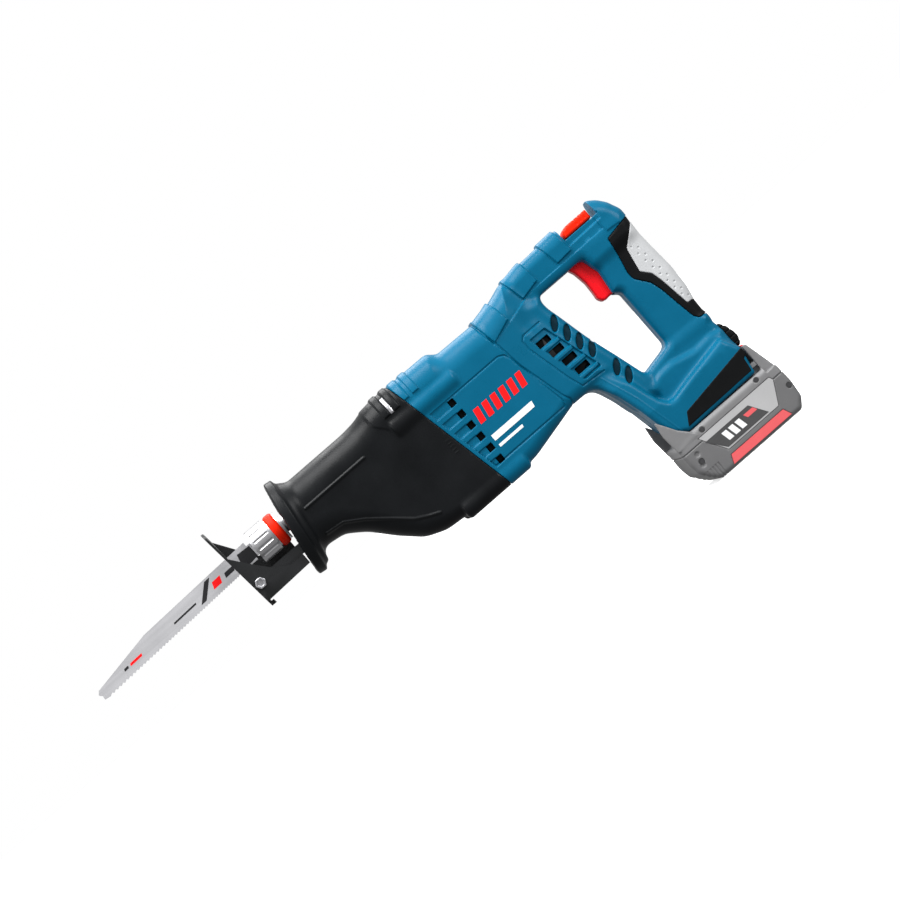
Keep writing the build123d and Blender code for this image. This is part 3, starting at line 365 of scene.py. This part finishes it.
# ---------------------------------------------------------------- shared outlines (X, Z)
JOINT_TOP, JOINT_LOW = (173.8, 30.5), (200.4, -101.7)
MOTOR = [(140, 30.5), (217.6, 29.8), (225.5, 23.2), (264, 22.6), (287, 27.6), (306, 32.2), (312, 8),
         (310, -8), (312, -25), (327, -82), (312, -86), (284.5, -85.6), (234.8, -97.6), (222.5, -99.2),
         (219, -100.5), (140, -100.5)]
HANDLE = [(285, 22), (305, 32.4), (327.5, 36.6), (368.7, 38.4), (402, 37.6), (408.4, 38.4), (410.5, 37.9),
          (417, 33.2), (422.6, 25.9), (425.5, 17.7), (425.5, 11.3), (424, 3), (421, -8), (379, -8),
          (376, 3.4), (300, 3.4)]
GRIP_LINE = [(374.7, 12), (424.5, 14), (426.2, -24.5), (427.9, -50.2), (427, -71.7), (424.5, -84),
             (423.6, -108), (381, -108), (381, -40.5), (374.6, -35.5), (377.5, -14), (374.7, 1)]
STRUT = [(300, 8), (322.8, 3), (323.2, -9), (326, -20), (332.5, -48.8), (341.8, -78.8), (349.8, -106.4),
         (349.8, -125), (323, -125), (312.9, -88.8), (300, -80)]
FOOT_CORE = [(349.8, -106.4), (381, -99.6), (424, -101), (423.6, -110), (425.4, -116), (424.5, -150),
             (340, -150), (340, -108)]
FOOT_MID = [(356, -113), (372, -112), (384, -115), (394.7, -117.5), (413, -116), (424.5, -119), (424.5, -145),
            (345, -145), (346, -118)]
FOOT_WIDE = [(308, -84.5), (322, -83), (334.6, -104.6), (339, -120), (343.2, -131.8), (347.5, -137.5),
             (353, -138), (376, -133), (416, -125.3), (424.8, -141.8), (422.7, -153.2), (420.2, -167),
             (344.6, -167.8), (334.3, -161.8), (329.2, -153.2), (324, -127.5), (318, -106)]
GRIP_BLACK = [(401.3, 2.1), (432, 7.8), (432, -101.6), (417, -100.3), (414, -96), (411.2, -80),
              (408.3, -61.6), (405.4, -51), (395.8, -38.2), (395.4, -31.6), (399.3, -14.4)]
GRIP_GREY = [(440, 12), (422.6, -2.3), (408.3, -15), (404, -37.3), (411, -45.2), (413.3, -54.5),
             (417.6, -84.4), (440, -84.4)]
BOOT_LINE = [(20, 25), (120, 25), (134, 26.3), (141.2, 28.4), (154, 29.6), (225, 30.5), (225, -100.4),
             (159.2, -100.4), (154.9, -97.4), (134.3, -95.7), (117.2, -88.8), (100, -72.5), (82.8, -52.8),
             (66.5, -41), (50, -38.6), (20, -38.6)]
SCREWS = [(214, 18), (218, -88), (312, 8.5), (316, -72), (341, -138), (412, -132), (388, -70), (356, 28),
          (417.5, 17)]
FLAT_HALF = 35.4                        # half width of the body's flat sides


def beyond_joint(s):
    """Distance rearward of the line where boot and housing meet."""
    run, drop = JOINT_LOW[0] - JOINT_TOP[0], JOINT_TOP[1] - JOINT_LOW[1]
    return ((s.x - JOINT_TOP[0]) * drop - (JOINT_TOP[1] - s.z) * run) / sqrt(run * run + drop * drop)


# ---------------------------------------------------------------- blue housing and its grip
def housing_body(s):
    half = np.interp(s.x, [172, 182, 270, 292, 330], [34.6, FLAT_HALF, FLAT_HALF, 32.6, 27])
    motor = slab(shape2(s, MOTOR, 3), s.ay - half, np.interp(s.z, [-80, -45, -8], [11, 12, 22]))
    handle = slab(shape2(s, HANDLE, 3), s.ay - 19.6, np.interp(s.z, [2, 12, 30], [5, 9, 13]))
    grip = slab(shape2(s, GRIP_LINE, 2), s.ay - 17.2, 8)
    strut = slab(shape2(s, STRUT, 4), s.ay - 23.0, 8)
    core = slab(shape2(s, FOOT_CORE, 3), s.ay - 18.5, 7)
    mid = slab(shape2(s, FOOT_MID, 4), s.ay - 22.5, 6)
    flare = np.interp(s.z, [-134, -100, -84], [33, 28.5, 24.5])
    wide = slab(shape2(s, FOOT_WIDE, 2), s.ay - flare, 4.5)
    upper = join(join(motor, handle, 9), join(strut, grip, 1), 8)
    lower = join(join(core, mid, 3), wide, 6)
    return join(upper, lower, 6)


def slots(s):
    """The six lens-shaped slots down the front strut, in X and Z."""
    found = None
    for x, z in [(318.6, -22.8), (321.6, -36), (325, -48.4), (329, -60.2), (334.6, -85.8), (338, -97.6)]:
        along, across = 0.58 * (s.x - x) + 0.81 * (s.z - z), -0.81 * (s.x - x) + 0.58 * (s.z - z)
        lens = 3.2 * (np.sqrt((along / 7.6) ** 2 + (across / 3.2) ** 2) - 1)
        found = lens if found is None else np.minimum(found, lens)
    return found


def housing_relief(s):
    """How far the surface stands proud of the plain body, in X and Z."""
    above = [(266, 70), (266, -3.5), (268, -2.3), (290, 2.7), (312, 9.2), (323, 11), (400, 11.5), (404, 11.5),
             (404, 70)]
    lift = -0.9 * mask(shape2(s, above), 0.8)
    bands = [
        [(264.5, 70), (264.5, 22), (268, -2.3), (289.5, 5.6), (286.5, 27), (286.5, 70)],
        [(307.4, 70), (307.4, 34), (312.4, 10.4), (331.7, 14.8), (330.3, 36), (330.3, 70)],
        [(351, 70), (351, 38), (355, 14.2), (371.4, 15.3), (369.7, 38), (369.7, 70)],
    ]
    for band in bands:
        lift = lift + 2.1 * mask(shape2(s, band), 1.0)
    hump = [(404, 70), (404.6, 14.9), (405.5, 7.5), (417, 6.6), (424, 3.5), (440, 3.5), (440, 70)]
    lift = lift + 1.0 * mask(shape2(s, hump), 2.2)
    for x0, x1 in ((175.4, 183), (187, 193.6)):
        lift = lift + 1.4 * mask(bar(s, (x0, x1), (11, 80)), 1.2)
    scoop = [(373, 18.8), (408, 20), (409.5, 26), (373, 26)]
    lift = lift - 1.8 * mask(shape2(s, scoop), 1.6)

    panel = [(185, -12.8), (262, -12.8), (267, -15.4), (269.3, -21), (279.7, -77), (278, -81.8), (200, -81.8)]
    edge = np.abs(shape2(s, panel, 1.5))
    lift = lift - 0.95 * mask(edge - 0.6, 0.7) * (beyond_joint(s) > 3.5)
    groove = [(263.5, 24), (265, 7), (268, -3), (271.6, -31.6), (282.3, -74), (285.5, -80), (285.2, -90)]
    lift = lift - 1.1 * mask(path2(s, groove) - 0.8, 0.8)
    rim = [(309, -13.4), (290, -13.6), (286.6, -17), (286.6, -26), (296.4, -66), (301, -79), (324, -81)]
    lift = lift - 0.9 * mask(path2(s, rim) - 0.6, 0.7)
    for i in range(6):
        z = -16.9 - 12.5 * i
        row = np.maximum(bar(s, (170, 204.4), (z - 3.5, z + 3.5)), 3.4 - beyond_joint(s))
        lift = lift - 1.2 * mask(row, 0.9)
    well = [(292, -20.2), (309.3, -20.2), (325.2, -76), (306, -76)]
    hollow = mask(shape2(s, well, 1.5), 0.9)
    for i in range(4):
        x, z = 292 + 3.7 * i, -34.9 - 12.6 * i
        hollow = hollow * (1 - mask(bar(s, (x - 1, x + 21), (z - 1.7, z + 1.7)), 0.8))
    lift = lift - 2.0 * hollow
    lift = lift - 2.4 * np.clip((s.ay - 10) / 3, 0, 1) * mask(slots(s), 0.9)
    crest = [(317.5, -84.5), (329, -117.5), (333.4, -137.5), (336.5, -150), (340, -166)]
    lift = lift + 0.5 * mask(path2(s, crest) - 0.4, 1.6)
    return lift


def housing_cuts(s):
    """Vents, trigger window, slide recess, rail channel and the other openings."""
    cuts = bar(s, (203.9, 209.9), (-20.2, -13.7))
    for i in range(1, 6):
        z = -16.9 - 12.5 * i
        cuts = np.minimum(cuts, bar(s, (203.9, 209.9), (z - 3.2, z + 3.2)))
    for i in range(4):
        x, z = 293.8 + 3.7 * i, -28.6 - 12.6 * i
        cuts = np.minimum(cuts, bar(s, (x, x + 13.8), (z - 3.1, z + 3.1)))
    cuts = np.maximum(cuts, 14 - s.ay)
    cuts = np.minimum(cuts, bar(s, (352, 397.5), (-37, 8.6), (-8.5, 8.5)))
    cuts = np.minimum(cuts, slab(bar(s, (372.4, 408.6), (24.9, 90)), s.ay - 60, 1.2))
    cuts = np.minimum(cuts, bar(s, (384.5, 398.7), (20.5, 26), (-4.3, 4.3)))
    cuts = np.minimum(cuts, bar(s, (343, 440), (-190, -162.6), (-24.4, 24.4)))
    cuts = np.minimum(cuts, bar(s, (343, 440), (-163.4, -158), (-29.4, 29.4)))
    return np.minimum(cuts, bar(s, (346, 372), (-165, -147), (-20.2, 20.2)))


s = Space((170, -42, -171), (431, 1.6, 42), 0.62)
plain = housing_body(s)
ridges = np.minimum(rib(s, 140, 224.5, 27.6, -1.6, 10.6, 4), rib(s, 140, 224.5, 27.2, -93.2, 9.2, 4))
relief = housing_relief(s)
outer = join(plain - relief, ridges, 2.0)
black, grey = shape2(s, GRIP_BLACK, 1.5), shape2(s, GRIP_GREY, 1.5)
outer = outer + 2.3 * mask(black, 0.6)
rear_of = beyond_joint(s)
seam = 0.5 * mask(np.abs(s.y) - 0.35, 0.8)
room = plain - np.minimum(relief, 0) + 2.6 + 3.0 * mask(black - 2.5, 1.0)
room = np.maximum(room, -bar(s, (300, 440), (-190, -154)))
room = np.maximum(room, -bar(s, (369, 415), (22, 60)))
bosses = None
for x, z in SCREWS:
    post = np.sqrt((s.x - x) ** 2 + (s.z - z) ** 2) - 4.4
    bosses = post if bosses is None else np.minimum(bosses, post)
room = np.maximum(room, -bosses)
shell = np.maximum(outer + seam + 0.5 * mask(rear_of - 0.3, 1.2), -room)
shell = np.maximum(shell, -housing_cuts(s))
shell = np.maximum(np.maximum(shell, 0.15 - rear_of), s.y + 0.08)
surface(s, shell, "shell_left", "housing", BLUE, ["housing_left"])
# dark sheets behind the two groups of vents, painted shade inside the housing, then dark sheets of painted
# shade in the strut's slots
# painted shade: a thin dark sheet just inside the shell, kept to the areas behind the vents
vent_shade_sheet = np.maximum(room + 0.15, -(room + 1.3))
behind = np.minimum(bar(s, (199, 215), (-86, -9)), bar(s, (290, 326), (-77, -20)))
vent_shade_sheet = np.maximum(np.maximum(vent_shade_sheet, behind), 14 - s.ay)
for side, flip in (("left", False), ("right", True)):
    surface(s, vent_shade_sheet, f"vent_filter_{side}", "housing", VENT_SHADE, flip=flip)
# painted shade: dark sheets set 1.3 to 3.2 mm below the body surface in each slot recess
lens = np.maximum(slots(s) + 0.1, np.maximum(12 - s.ay, np.maximum(plain + 1.3, -(plain + 3.2))))
for side, flip in (("left", False), ("right", True)):
    surface(s, lens, f"slot_shade_{side}", "housing", SLOT_SHADE, flip=flip)
bores = None
for x, z in SCREWS:
    bore = np.maximum(np.sqrt((s.x - x) ** 2 + (s.z - z) ** 2) - 3.3, 6.0 - s.ay)
    bores = bore if bores is None else np.minimum(bores, bore)
right_shell = np.maximum(shell, -bores)
surface(s, right_shell, "shell_right", "housing", BLUE, ["housing_right"], flip=True)
del outer, room, shell, right_shell, bores, relief, vent_shade_sheet, lens

t = Space((390, -21, -105), (430, 21, 10), 0.45)
plain = housing_body(t) - 0.9 * mask(bar(t, (400, 440), (6.6, 60)), 2.0)
black, grey = shape2(t, GRIP_BLACK, 1.5), shape2(t, GRIP_GREY, 1.5)
skin = np.maximum(np.maximum(plain - 0.45, -(plain + 2.1)), slab(black + 0.15, plain - 0.45, 0.7))
surface(t, np.maximum(skin, -(grey - 0.12)), "grip_skin", "housing", GRIP, ["grip_overmould"])
dimples = None
for i in range(8):
    for x, z in ((412.2 + 0.95 * i, -16.5 - 8.4 * i), (416.8 + 0.85 * i, -20.7 - 8.4 * i)):
        d = np.sqrt((t.x - x) ** 2 + (t.z - z) ** 2) - 0.75
        dimples = d if dimples is None else np.minimum(dimples, d)
pad = np.maximum(slab(grey + 0.1, plain - 0.8, 0.9), -(plain + 2.0)) + 0.8 * mask(dimples, 0.9)
surface(t, np.maximum(pad, black), "grip_cushion", "housing", PAD, ["grip_pad"])


def foot_rubber():
    s = Space((342, -35, -166), (436, 35, -113), 0.6)
    line = [(353.2, -153.2), (419, -143.2), (424.4, -142.5), (424.4, -149.6), (420.4, -151), (418.6, -163.4),
            (346, -164.4)]
    inlay = slab(shape2(s, line, 1), np.maximum(s.ay - 33.35, 31.6 - s.ay), 0.5)
    rear = [(422, -114.6), (426.5, -114.8), (430.5, -121.5), (433, -131.8), (431.3, -138.6), (428.8, -141.2),
            (422, -141.2)]
    bumper = slab(shape2(s, rear, 1.5), s.ay - 15, 3.5) + 0.6 * mask(np.abs((s.z + 128) % 6 - 3) - 0.5, 1.0)
    bumper = np.maximum(bumper, 424.9 - s.x)
    surface(s, np.minimum(inlay, bumper), "foot_rubber", "housing", GRIP, ["foot_bumpers"])


foot_rubber()


# ---------------------------------------------------------------- rubber boot
def boot_body(s):
    half = np.interp(s.x, [36, 100, 128, 150, 172, 182], [27, 27.4, 29, 33.4, 34.6, FLAT_HALF])
    top = np.interp(s.x, [60, 120, 160], [26, 25, 21])
    low = np.interp(s.x, [60, 100, 150], [24, 18, 12])
    mix = np.clip((s.z + 30) / 20, 0, 1)
    return slab(shape2(s, BOOT_LINE, 5), s.ay - half, low + (top - low) * mix)


def guard_fields(s):
    """Distance along the hand guard's axis, and its ellipse measure."""
    along = 0.99 * (s.x - 34.35) - 0.143 * (s.z + 8.15)
    up = 0.143 * (s.x - 34.35) + 0.99 * (s.z + 8.15)
    return along, up


def boot_relief(s):
    lift = 1.1 * mask(path2(s, [(55, -3), (120, -3)]) - 1.1, 1.4)
    low_rib = [(55, -31), (71.4, -33), (87, -43), (104.3, -57.4), (118.6, -70.2), (130, -76.5),
               (138.6, -80.3)]
    lift = lift + 1.1 * mask(path2(s, low_rib) - 1.1, 1.4)
    shoulder = [(141.2, 80), (142.3, 12), (152, 0.6), (152, -12), (240, -12), (240, 80)]
    lift = lift + 0.9 * mask(shape2(s, shoulder, 3), 2.2) * np.clip((s.z + 12) / 10, 0, 1)
    for x0, x1 in ((155, 161.4), (165.8, 171.8)):
        lift = lift + 1.5 * mask(bar(s, (x0, x1), (10, 80)), 1.2)
    marks = np.abs((s.z + 40) % 3.2 - 1.6) - 0.35
    lift = lift + 0.35 * mask(np.maximum(marks, bar(s, (181, 184.5), (-52, -37))), 0.8)
    return lift


s = Space((24, -41, -105), (203, 41, 41), 0.72)
plain = boot_body(s)
along, up = guard_fields(s)
oval = np.sqrt((s.y / 36.0) ** 2 + (up / 45.0) ** 2)
flange = slab((oval - 1) * 37, np.maximum(-along, along - 7.6), 1.1)
ring = (np.sqrt((s.y / 31.6) ** 2 + ((up + 1) / 38.5) ** 2) - 1) * 33
collar = slab(ring, np.maximum(-along, along - 13), 2)
tube = np.maximum(plain - boot_relief(s), 36 - s.x)
ridges = np.minimum(rib(s, 153.8, 230, 27.6, -1.6, 10.2, 3), rib(s, 154.4, 230, 27.2, -93.2, 9.0, 4))
outer = join(join(tube, ridges, 2.0), collar, 9)
outer = join(outer, flange, 7)
mouth = (np.sqrt((s.y / 32.0) ** 2 + (up / 41.0) ** 2) - 1) * 33 + 0.55 * np.maximum(along, 0)
mouth = np.maximum(mouth, along - 16)
room = np.minimum(np.maximum(plain + 3.0, 30 - s.x), mouth)
rear_of = beyond_joint(s)
front = np.maximum(outer + 0.6 * mask(-rear_of - 0.3, 1.2), -room)
front = np.maximum(front, rear_of + 0.15)
surface(s, front, "boot", "housing", BOOT, ["front_boot"])
clip = np.maximum(np.maximum(plain - 1.7, -(plain + 1.6)), bar(s, (161.6, 165.6), (9.4, 25.4)))
clip = np.maximum(clip, 20 - s.ay)
surface(s, clip, "boot_clip", "housing", ZINC, ["boot_clips"])
del outer, room, front, tube, oval


def pivot_bolt():
    """Hexagon bolt and nut through the shoe, with a hexagon socket in each end."""
    low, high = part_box("shoe_pivot_bolt")
    x, z = (low.x + high.x) / 2 / MM, (low.z + high.z) / 2 / MM
    s = Space((x - 6.5, -27, z - 6.5), (x + 6.5, 27, z + 6.5), 0.3)
    ux, uz = s.x - x, s.z - z
    across = np.maximum(np.abs(uz), np.maximum(np.abs(0.5 * uz + 0.866 * ux), np.abs(0.5 * uz - 0.866 * ux)))
    radius = np.sqrt(ux * ux + uz * uz)
    head = slab(across - 4.6, np.maximum(22.1 - s.ay, s.ay - 25.2), 0.5)
    head = slab(head, radius + 0.6 * (s.ay - 25.2) - 4.9, 0.4)
    socket = np.maximum(across - 2.7, 22.6 - s.ay)
    bolt = np.minimum(np.maximum(head, -socket), np.maximum(radius - 2.95, s.ay - 23.2))
    surface(s, bolt, "pivot_bolt", "housing", ZINC, ["shoe_pivot_bolt"])


pivot_bolt()


# ---------------------------------------------------------------- trigger and slide button
def trigger_piece():
    s = Space((356, -9.2, -39), (390, 9.2, 10), 0.4)
    line = [(359.4, 8.5), (359.4, 3.6), (361.8, -2), (363.6, -14), (363.2, -24), (362.4, -31), (364.5, -35),
            (367.5, -36.4), (385.3, -36.4), (385.3, 8.5)]
    body = slab(shape2(s, line, 1.5), s.ay - 8.0, 2.8)
    fold = path2(s, [(366.2, 9), (368.6, -6), (369.2, -18), (368, -30), (367.4, -38)])
    body = body + 0.5 * mask(fold - 0.3, 1.2) + 0.35 * np.clip((s.x - 369) / 2, 0, 1)
    spring_pocket = np.maximum(np.sqrt(s.y * s.y + (s.z + 8) ** 2) - 4.4, 378.6 - s.x)
    body = np.maximum(body, -spring_pocket)
    surface(s, body, "trigger_blade", "trigger_body", RED, ["trigger"])


def slide_piece():
    s = Space((372, -15.5, 20.5), (406, 15.5, 36.5), 0.4)
    line = [(374.7, 25.35), (374.9, 29.5), (377, 32.6), (381, 34.2), (404, 34.4), (404, 25.35)]
    cap = slab(shape2(s, line, 1.5), s.ay - 14, 3)
    for x in (390.5, 394.7, 398.9):
        cap = cap + 0.9 * mask(np.maximum(np.abs(s.x - x) - 0.7, 28.4 - s.z), 0.9)
    stem = bar(s, (386, 394), (21.6, 27), (-3.9, 3.9))
    surface(s, np.minimum(cap, stem), "slide_button", "lock_body", SLIDER, ["lock_slider"])


trigger_piece()
slide_piece()

# ---------------------------------------------------------------- battery pack
PACK_LINE = [(324.3, -171.4), (324.3, -190), (325.7, -200.4), (331.8, -209), (338.6, -216), (429.6, -216),
             (436.5, -207.3), (438.2, -191.8), (437.3, -174.7), (432.2, -153.2), (429.5, -142.4),
             (426, -142.4), (426, -168.2), (340, -168.2)]
CHEEK = [(324.9, -142.1), (330, -150), (336, -160), (343.5, -168), (348, -175), (324.3, -176),
         (322.9, -157.5)]
BADGE_LINE = [(344.8, -177.3), (424.6, -177.3), (426.3, -181), (415.2, -200.6), (409, -200.6), (359, -200.6)]
STRIPE_LINE = [(357.5, -205.6), (416, -205.6), (419.3, -213.4), (354.1, -213.4)]


def pack_pieces():
    s = Space((321, -39.6, -217.5), (440, 39.6, -140), 0.62)
    main = slab(shape2(s, PACK_LINE, 2.5), s.ay - 37.7, 4.5)
    main = np.maximum(main, np.minimum(np.minimum(s.x - 426, s.z + 172.5), s.ay - 30))
    cheek = slab(shape2(s, CHEEK, 1.5), np.maximum(s.ay - 37.7, 33.5 - s.ay), 0.9)
    form = join(main, cheek, 0.8)
    form = form + 0.9 * mask(np.abs(s.z + 180.7) - 0.35, 0.9)
    for line in (BADGE_LINE, STRIPE_LINE):
        form = np.maximum(form, -np.maximum(shape2(s, line) - 0.35, 36.9 - s.ay))
    for x, z, r in ((335.5, -186.5, 2.2), (333.6, -196.5, 2.2)):
        pit = np.sqrt((s.x - x) ** 2 + (s.z - z) ** 2) - r
        form = form + 1.0 * mask(pit, 1.2)
    for x, z in ((352.5, -173.2), (415.2, -171.4), (434, -193.5), (334.5, -193.5)):
        pit = np.sqrt((s.x - x) ** 2 + (s.z - z) ** 2) - 2.6
        form = np.maximum(form, -np.maximum(pit, 36.6 - s.ay))
    room = np.maximum(main + 2.6, s.z + 171.2)
    latch = bar(s, (427.0, 433.3), (-164, -130), (-16.3, 16.3))
    rail = np.minimum(bar(s, (345, 426.5), (-169.5, -162.8), (-24, 24)),
                      bar(s, (345, 426.5), (-163, -158.6), (-29, 29)))
    for y in (-15, -5, 5, 15):
        rail = np.maximum(rail, -bar(s, (344, 368), (-167.2, -150), (y - 0.9, y + 0.9)))
    upper = np.maximum(np.minimum(np.maximum(form, -room), rail), -180.7 - s.z)
    upper = np.maximum(upper, -latch)
    surface(s, upper, "pack_upper", "battery", PACK, ["battery_upper_case"])
    grooves = 0.8 * mask(np.abs((s.x - 331) % 3.0 - 1.5) - 0.4, 0.9) * (s.x < 345) * (s.z < -203)
    lower = np.maximum(np.maximum(form + grooves, -room), s.z + 180.75)
    surface(s, lower, "pack_lower", "battery", PACK_LOW, ["battery_lower_case"])


pack_pieces()


def latch_piece():
    s = Space((425, -17, -164), (436, 17, -139), 0.4)
    line = [(427.4, -141.7), (430.0, -141.7), (432.8, -153), (432.9, -160.6), (427.4, -160.6)]
    body = slab(shape2(s, line, 0.8), s.ay - 15.9, 1.4)
    for z in (-146, -149.4, -152.8):
        body = body + 0.6 * mask(np.maximum(np.abs(s.z - z) - 0.4, 430 - s.x), 0.8)
    surface(s, body, "latch_button", "release", RED, ["release_button"])


latch_piece()
plate("badge_light", BADGE_LINE, 36.95, 37.75, "battery", BADGE, ["battery_badges"], bevel=0.15)
panel_line = [(347.2, -183.2), (395.4, -183.2), (405.6, -199.2), (359.8, -199.2)]
plate("badge_panel", panel_line, 37.7, 37.9, "battery", BADGE_DARK)
plate("stripe_plate", STRIPE_LINE, 36.95, 37.75, "battery", STRIPE, ["battery_stripes"],
      bevel=0.15)
for i in range(3):
    x = 362.5 + 7.4 * i
    bar_line = [(x, -186.5), (x + 5.2, -186.5), (x + 7.2, -195.4), (x + 2.0, -195.4)]
    plate(f"charge_bar_{i}", bar_line, 37.85, 38.0, "battery", PRINT_WHITE)
plate("charge_block", [(387, -187), (397.4, -187), (399.5, -191), (389, -191)], 37.85, 38.0, "battery",
      STRIPE)

# ---------------------------------------------------------------- printed marks, generic bars
face = FLAT_HALF
for i in range(6):
    x = 213.6 + 9.3 * i
    plate(f"side_bar_{i}", [(x + 2.4, -33.2), (x + 8.2, -33.2), (x + 5.8, -46.8), (x, -46.8)], face - 0.2,
          face + 0.16, "housing", PRINT_RED)
plate("side_line_0", [(213.6, -59.6), (259, -59.6), (258, -65.2), (213.6, -65.2)], face - 0.2, face + 0.14,
      "housing", PRINT_WHITE)
plate("side_line_1", [(213.6, -69.4), (240, -69.4), (239.6, -72), (213.6, -72)], face - 0.2, face + 0.14,
      "housing", PRINT_WHITE)


def on_blade(points):
    """Points measured along the blade from its shank, tilted as the blade droops."""
    c, k = cos(radians(2)), sin(radians(2))
    return [(c * x - k * z, k * x + c * z) for x, z in points]


marks = {
    "blade_slash": ([(-66, -4.6), (-60, -4.6), (-45, 8.6), (-51, 8.6)], PRINT_BLACK),
    "blade_dash_0": ([(-94, -1.0), (-69, -1.0), (-68, 0.6), (-93.4, 0.6)], PRINT_BLACK),
    "blade_red": ([(-49, -2.2), (-40, -2.2), (-37.4, 3.8), (-46.4, 3.8)], PRINT_RED),
    "blade_dash_1": ([(-35, -1.8), (-25, -1.8), (-23.4, 2.4), (-33.4, 2.4)], PRINT_BLACK),
    "blade_root_0": ([(-19, -7.6), (-2, -6.2), (-2, 5.2), (-15, 6.4)], PRINT_BLACK),
    "blade_tip_red": ([(-145, -1.6), (-132, -1.6), (-131, 0.6), (-144, 0.6)], PRINT_RED),
    "blade_tip_dash": ([(-152, -1.6), (-147.4, -1.6), (-146.4, 0.6), (-151, 0.6)], PRINT_BLACK),
}
for name, (points, ink) in marks.items():
    plate(name, on_blade(points), 0.6, 0.66, "plunger_group", ink)

# ---------------------------------------------------------------- floor, light and camera
low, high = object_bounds()
scene = bpy.context.scene


def studio():
    bpy.ops.mesh.primitive_plane_add(size=1, location=(0.18, 0, low.z - 0.0004))
    floor = bpy.context.object
    floor.name = "floor"
    floor.scale = (60, 60, 1)
    pale = bpy.data.materials.new("floor_white")
    pale.use_nodes = True
    shader = pale.node_tree.nodes["Principled BSDF"]
    shader.inputs["Base Color"].default_value = (0.9, 0.9, 0.9, 1)
    shader.inputs["Roughness"].default_value = 0.9
    shader.inputs["Specular IOR Level"].default_value = 0.1
    shader.inputs["Emission Color"].default_value = (1, 1, 1, 1)
    shader.inputs["Emission Strength"].default_value = 0.62
    floor.data.materials.append(pale)
    pale.cycles.emission_sampling = "NONE"
    floor.visible_diffuse = False
    floor.visible_glossy = False

    world = bpy.data.worlds.new("soft_white")
    world.use_nodes = True
    tree = world.node_tree
    new, link = tree.nodes.new, tree.links.new
    back = tree.nodes["Background"]
    place = new("ShaderNodeTexCoord")
    parts = new("ShaderNodeSeparateXYZ")
    sky = new("ShaderNodeMapRange")
    sky.inputs["From Min"].default_value = -0.3
    sky.inputs["From Max"].default_value = 0.9
    sky.inputs["To Min"].default_value = 0.36
    sky.inputs["To Max"].default_value = 1.1
    link(place.outputs["Generated"], parts.inputs["Vector"])
    link(parts.outputs["Z"], sky.inputs["Value"])
    link(sky.outputs["Result"], back.inputs["Strength"])
    back.inputs["Color"].default_value = (1, 1, 1, 1)
    bright = new("ShaderNodeBackground")
    bright.inputs["Color"].default_value = (1, 1, 1, 1)
    bright.inputs["Strength"].default_value = 1.0
    pick = new("ShaderNodeMixShader")
    ray = new("ShaderNodeLightPath")
    link(ray.outputs["Is Camera Ray"], pick.inputs["Fac"])
    link(back.outputs["Background"], pick.inputs[1])
    link(bright.outputs["Background"], pick.inputs[2])
    link(pick.outputs["Shader"], tree.nodes["World Output"].inputs["Surface"])
    scene.world = world

    aim = Vector((0.19, 0, -0.05))
    for name, place, size, power in (
        ("key", (-0.15, -0.5, 1.7), 1.2, 54),
        ("fill", (1.6, -1.3, 0.9), 0.9, 26),
        ("back", (0.5, 0.9, 1.3), 1.0, 18),
        ("front", (-1.2, -0.3, 0.7), 0.6, 3),
    ):
        light = bpy.data.lights.new(name, "AREA")
        light.energy = power
        light.size = size
        lamp = bpy.data.objects.new(name, light)
        scene.collection.objects.link(lamp)
        lamp.location = place
        lamp.rotation_euler = (aim - Vector(place)).to_track_quat("-Z", "Y").to_euler()


def camera():
    turn, roll, far = radians(3.5), radians(41), 2.5
    sight = Vector((sin(turn), cos(turn), 0))
    across = Vector((cos(turn), -sin(turn), 0))
    right = cos(roll) * across - sin(roll) * Vector((0, 0, 1))
    upward = sin(roll) * across + cos(roll) * Vector((0, 0, 1))
    view = bpy.data.cameras.new("view")
    view.lens = 116.5
    view.sensor_width = 36
    view.clip_end = 60
    eye = bpy.data.objects.new("view", view)
    scene.collection.objects.link(eye)
    aim = Vector((0.1815, 0, -0.0459))
    place = aim - sight * far
    columns = Matrix((right, upward, -sight)).transposed()
    eye.matrix_world = Matrix.Translation(place) @ columns.to_4x4()
    scene.camera = eye


studio()
camera()
scene.view_settings.view_transform = "Standard"
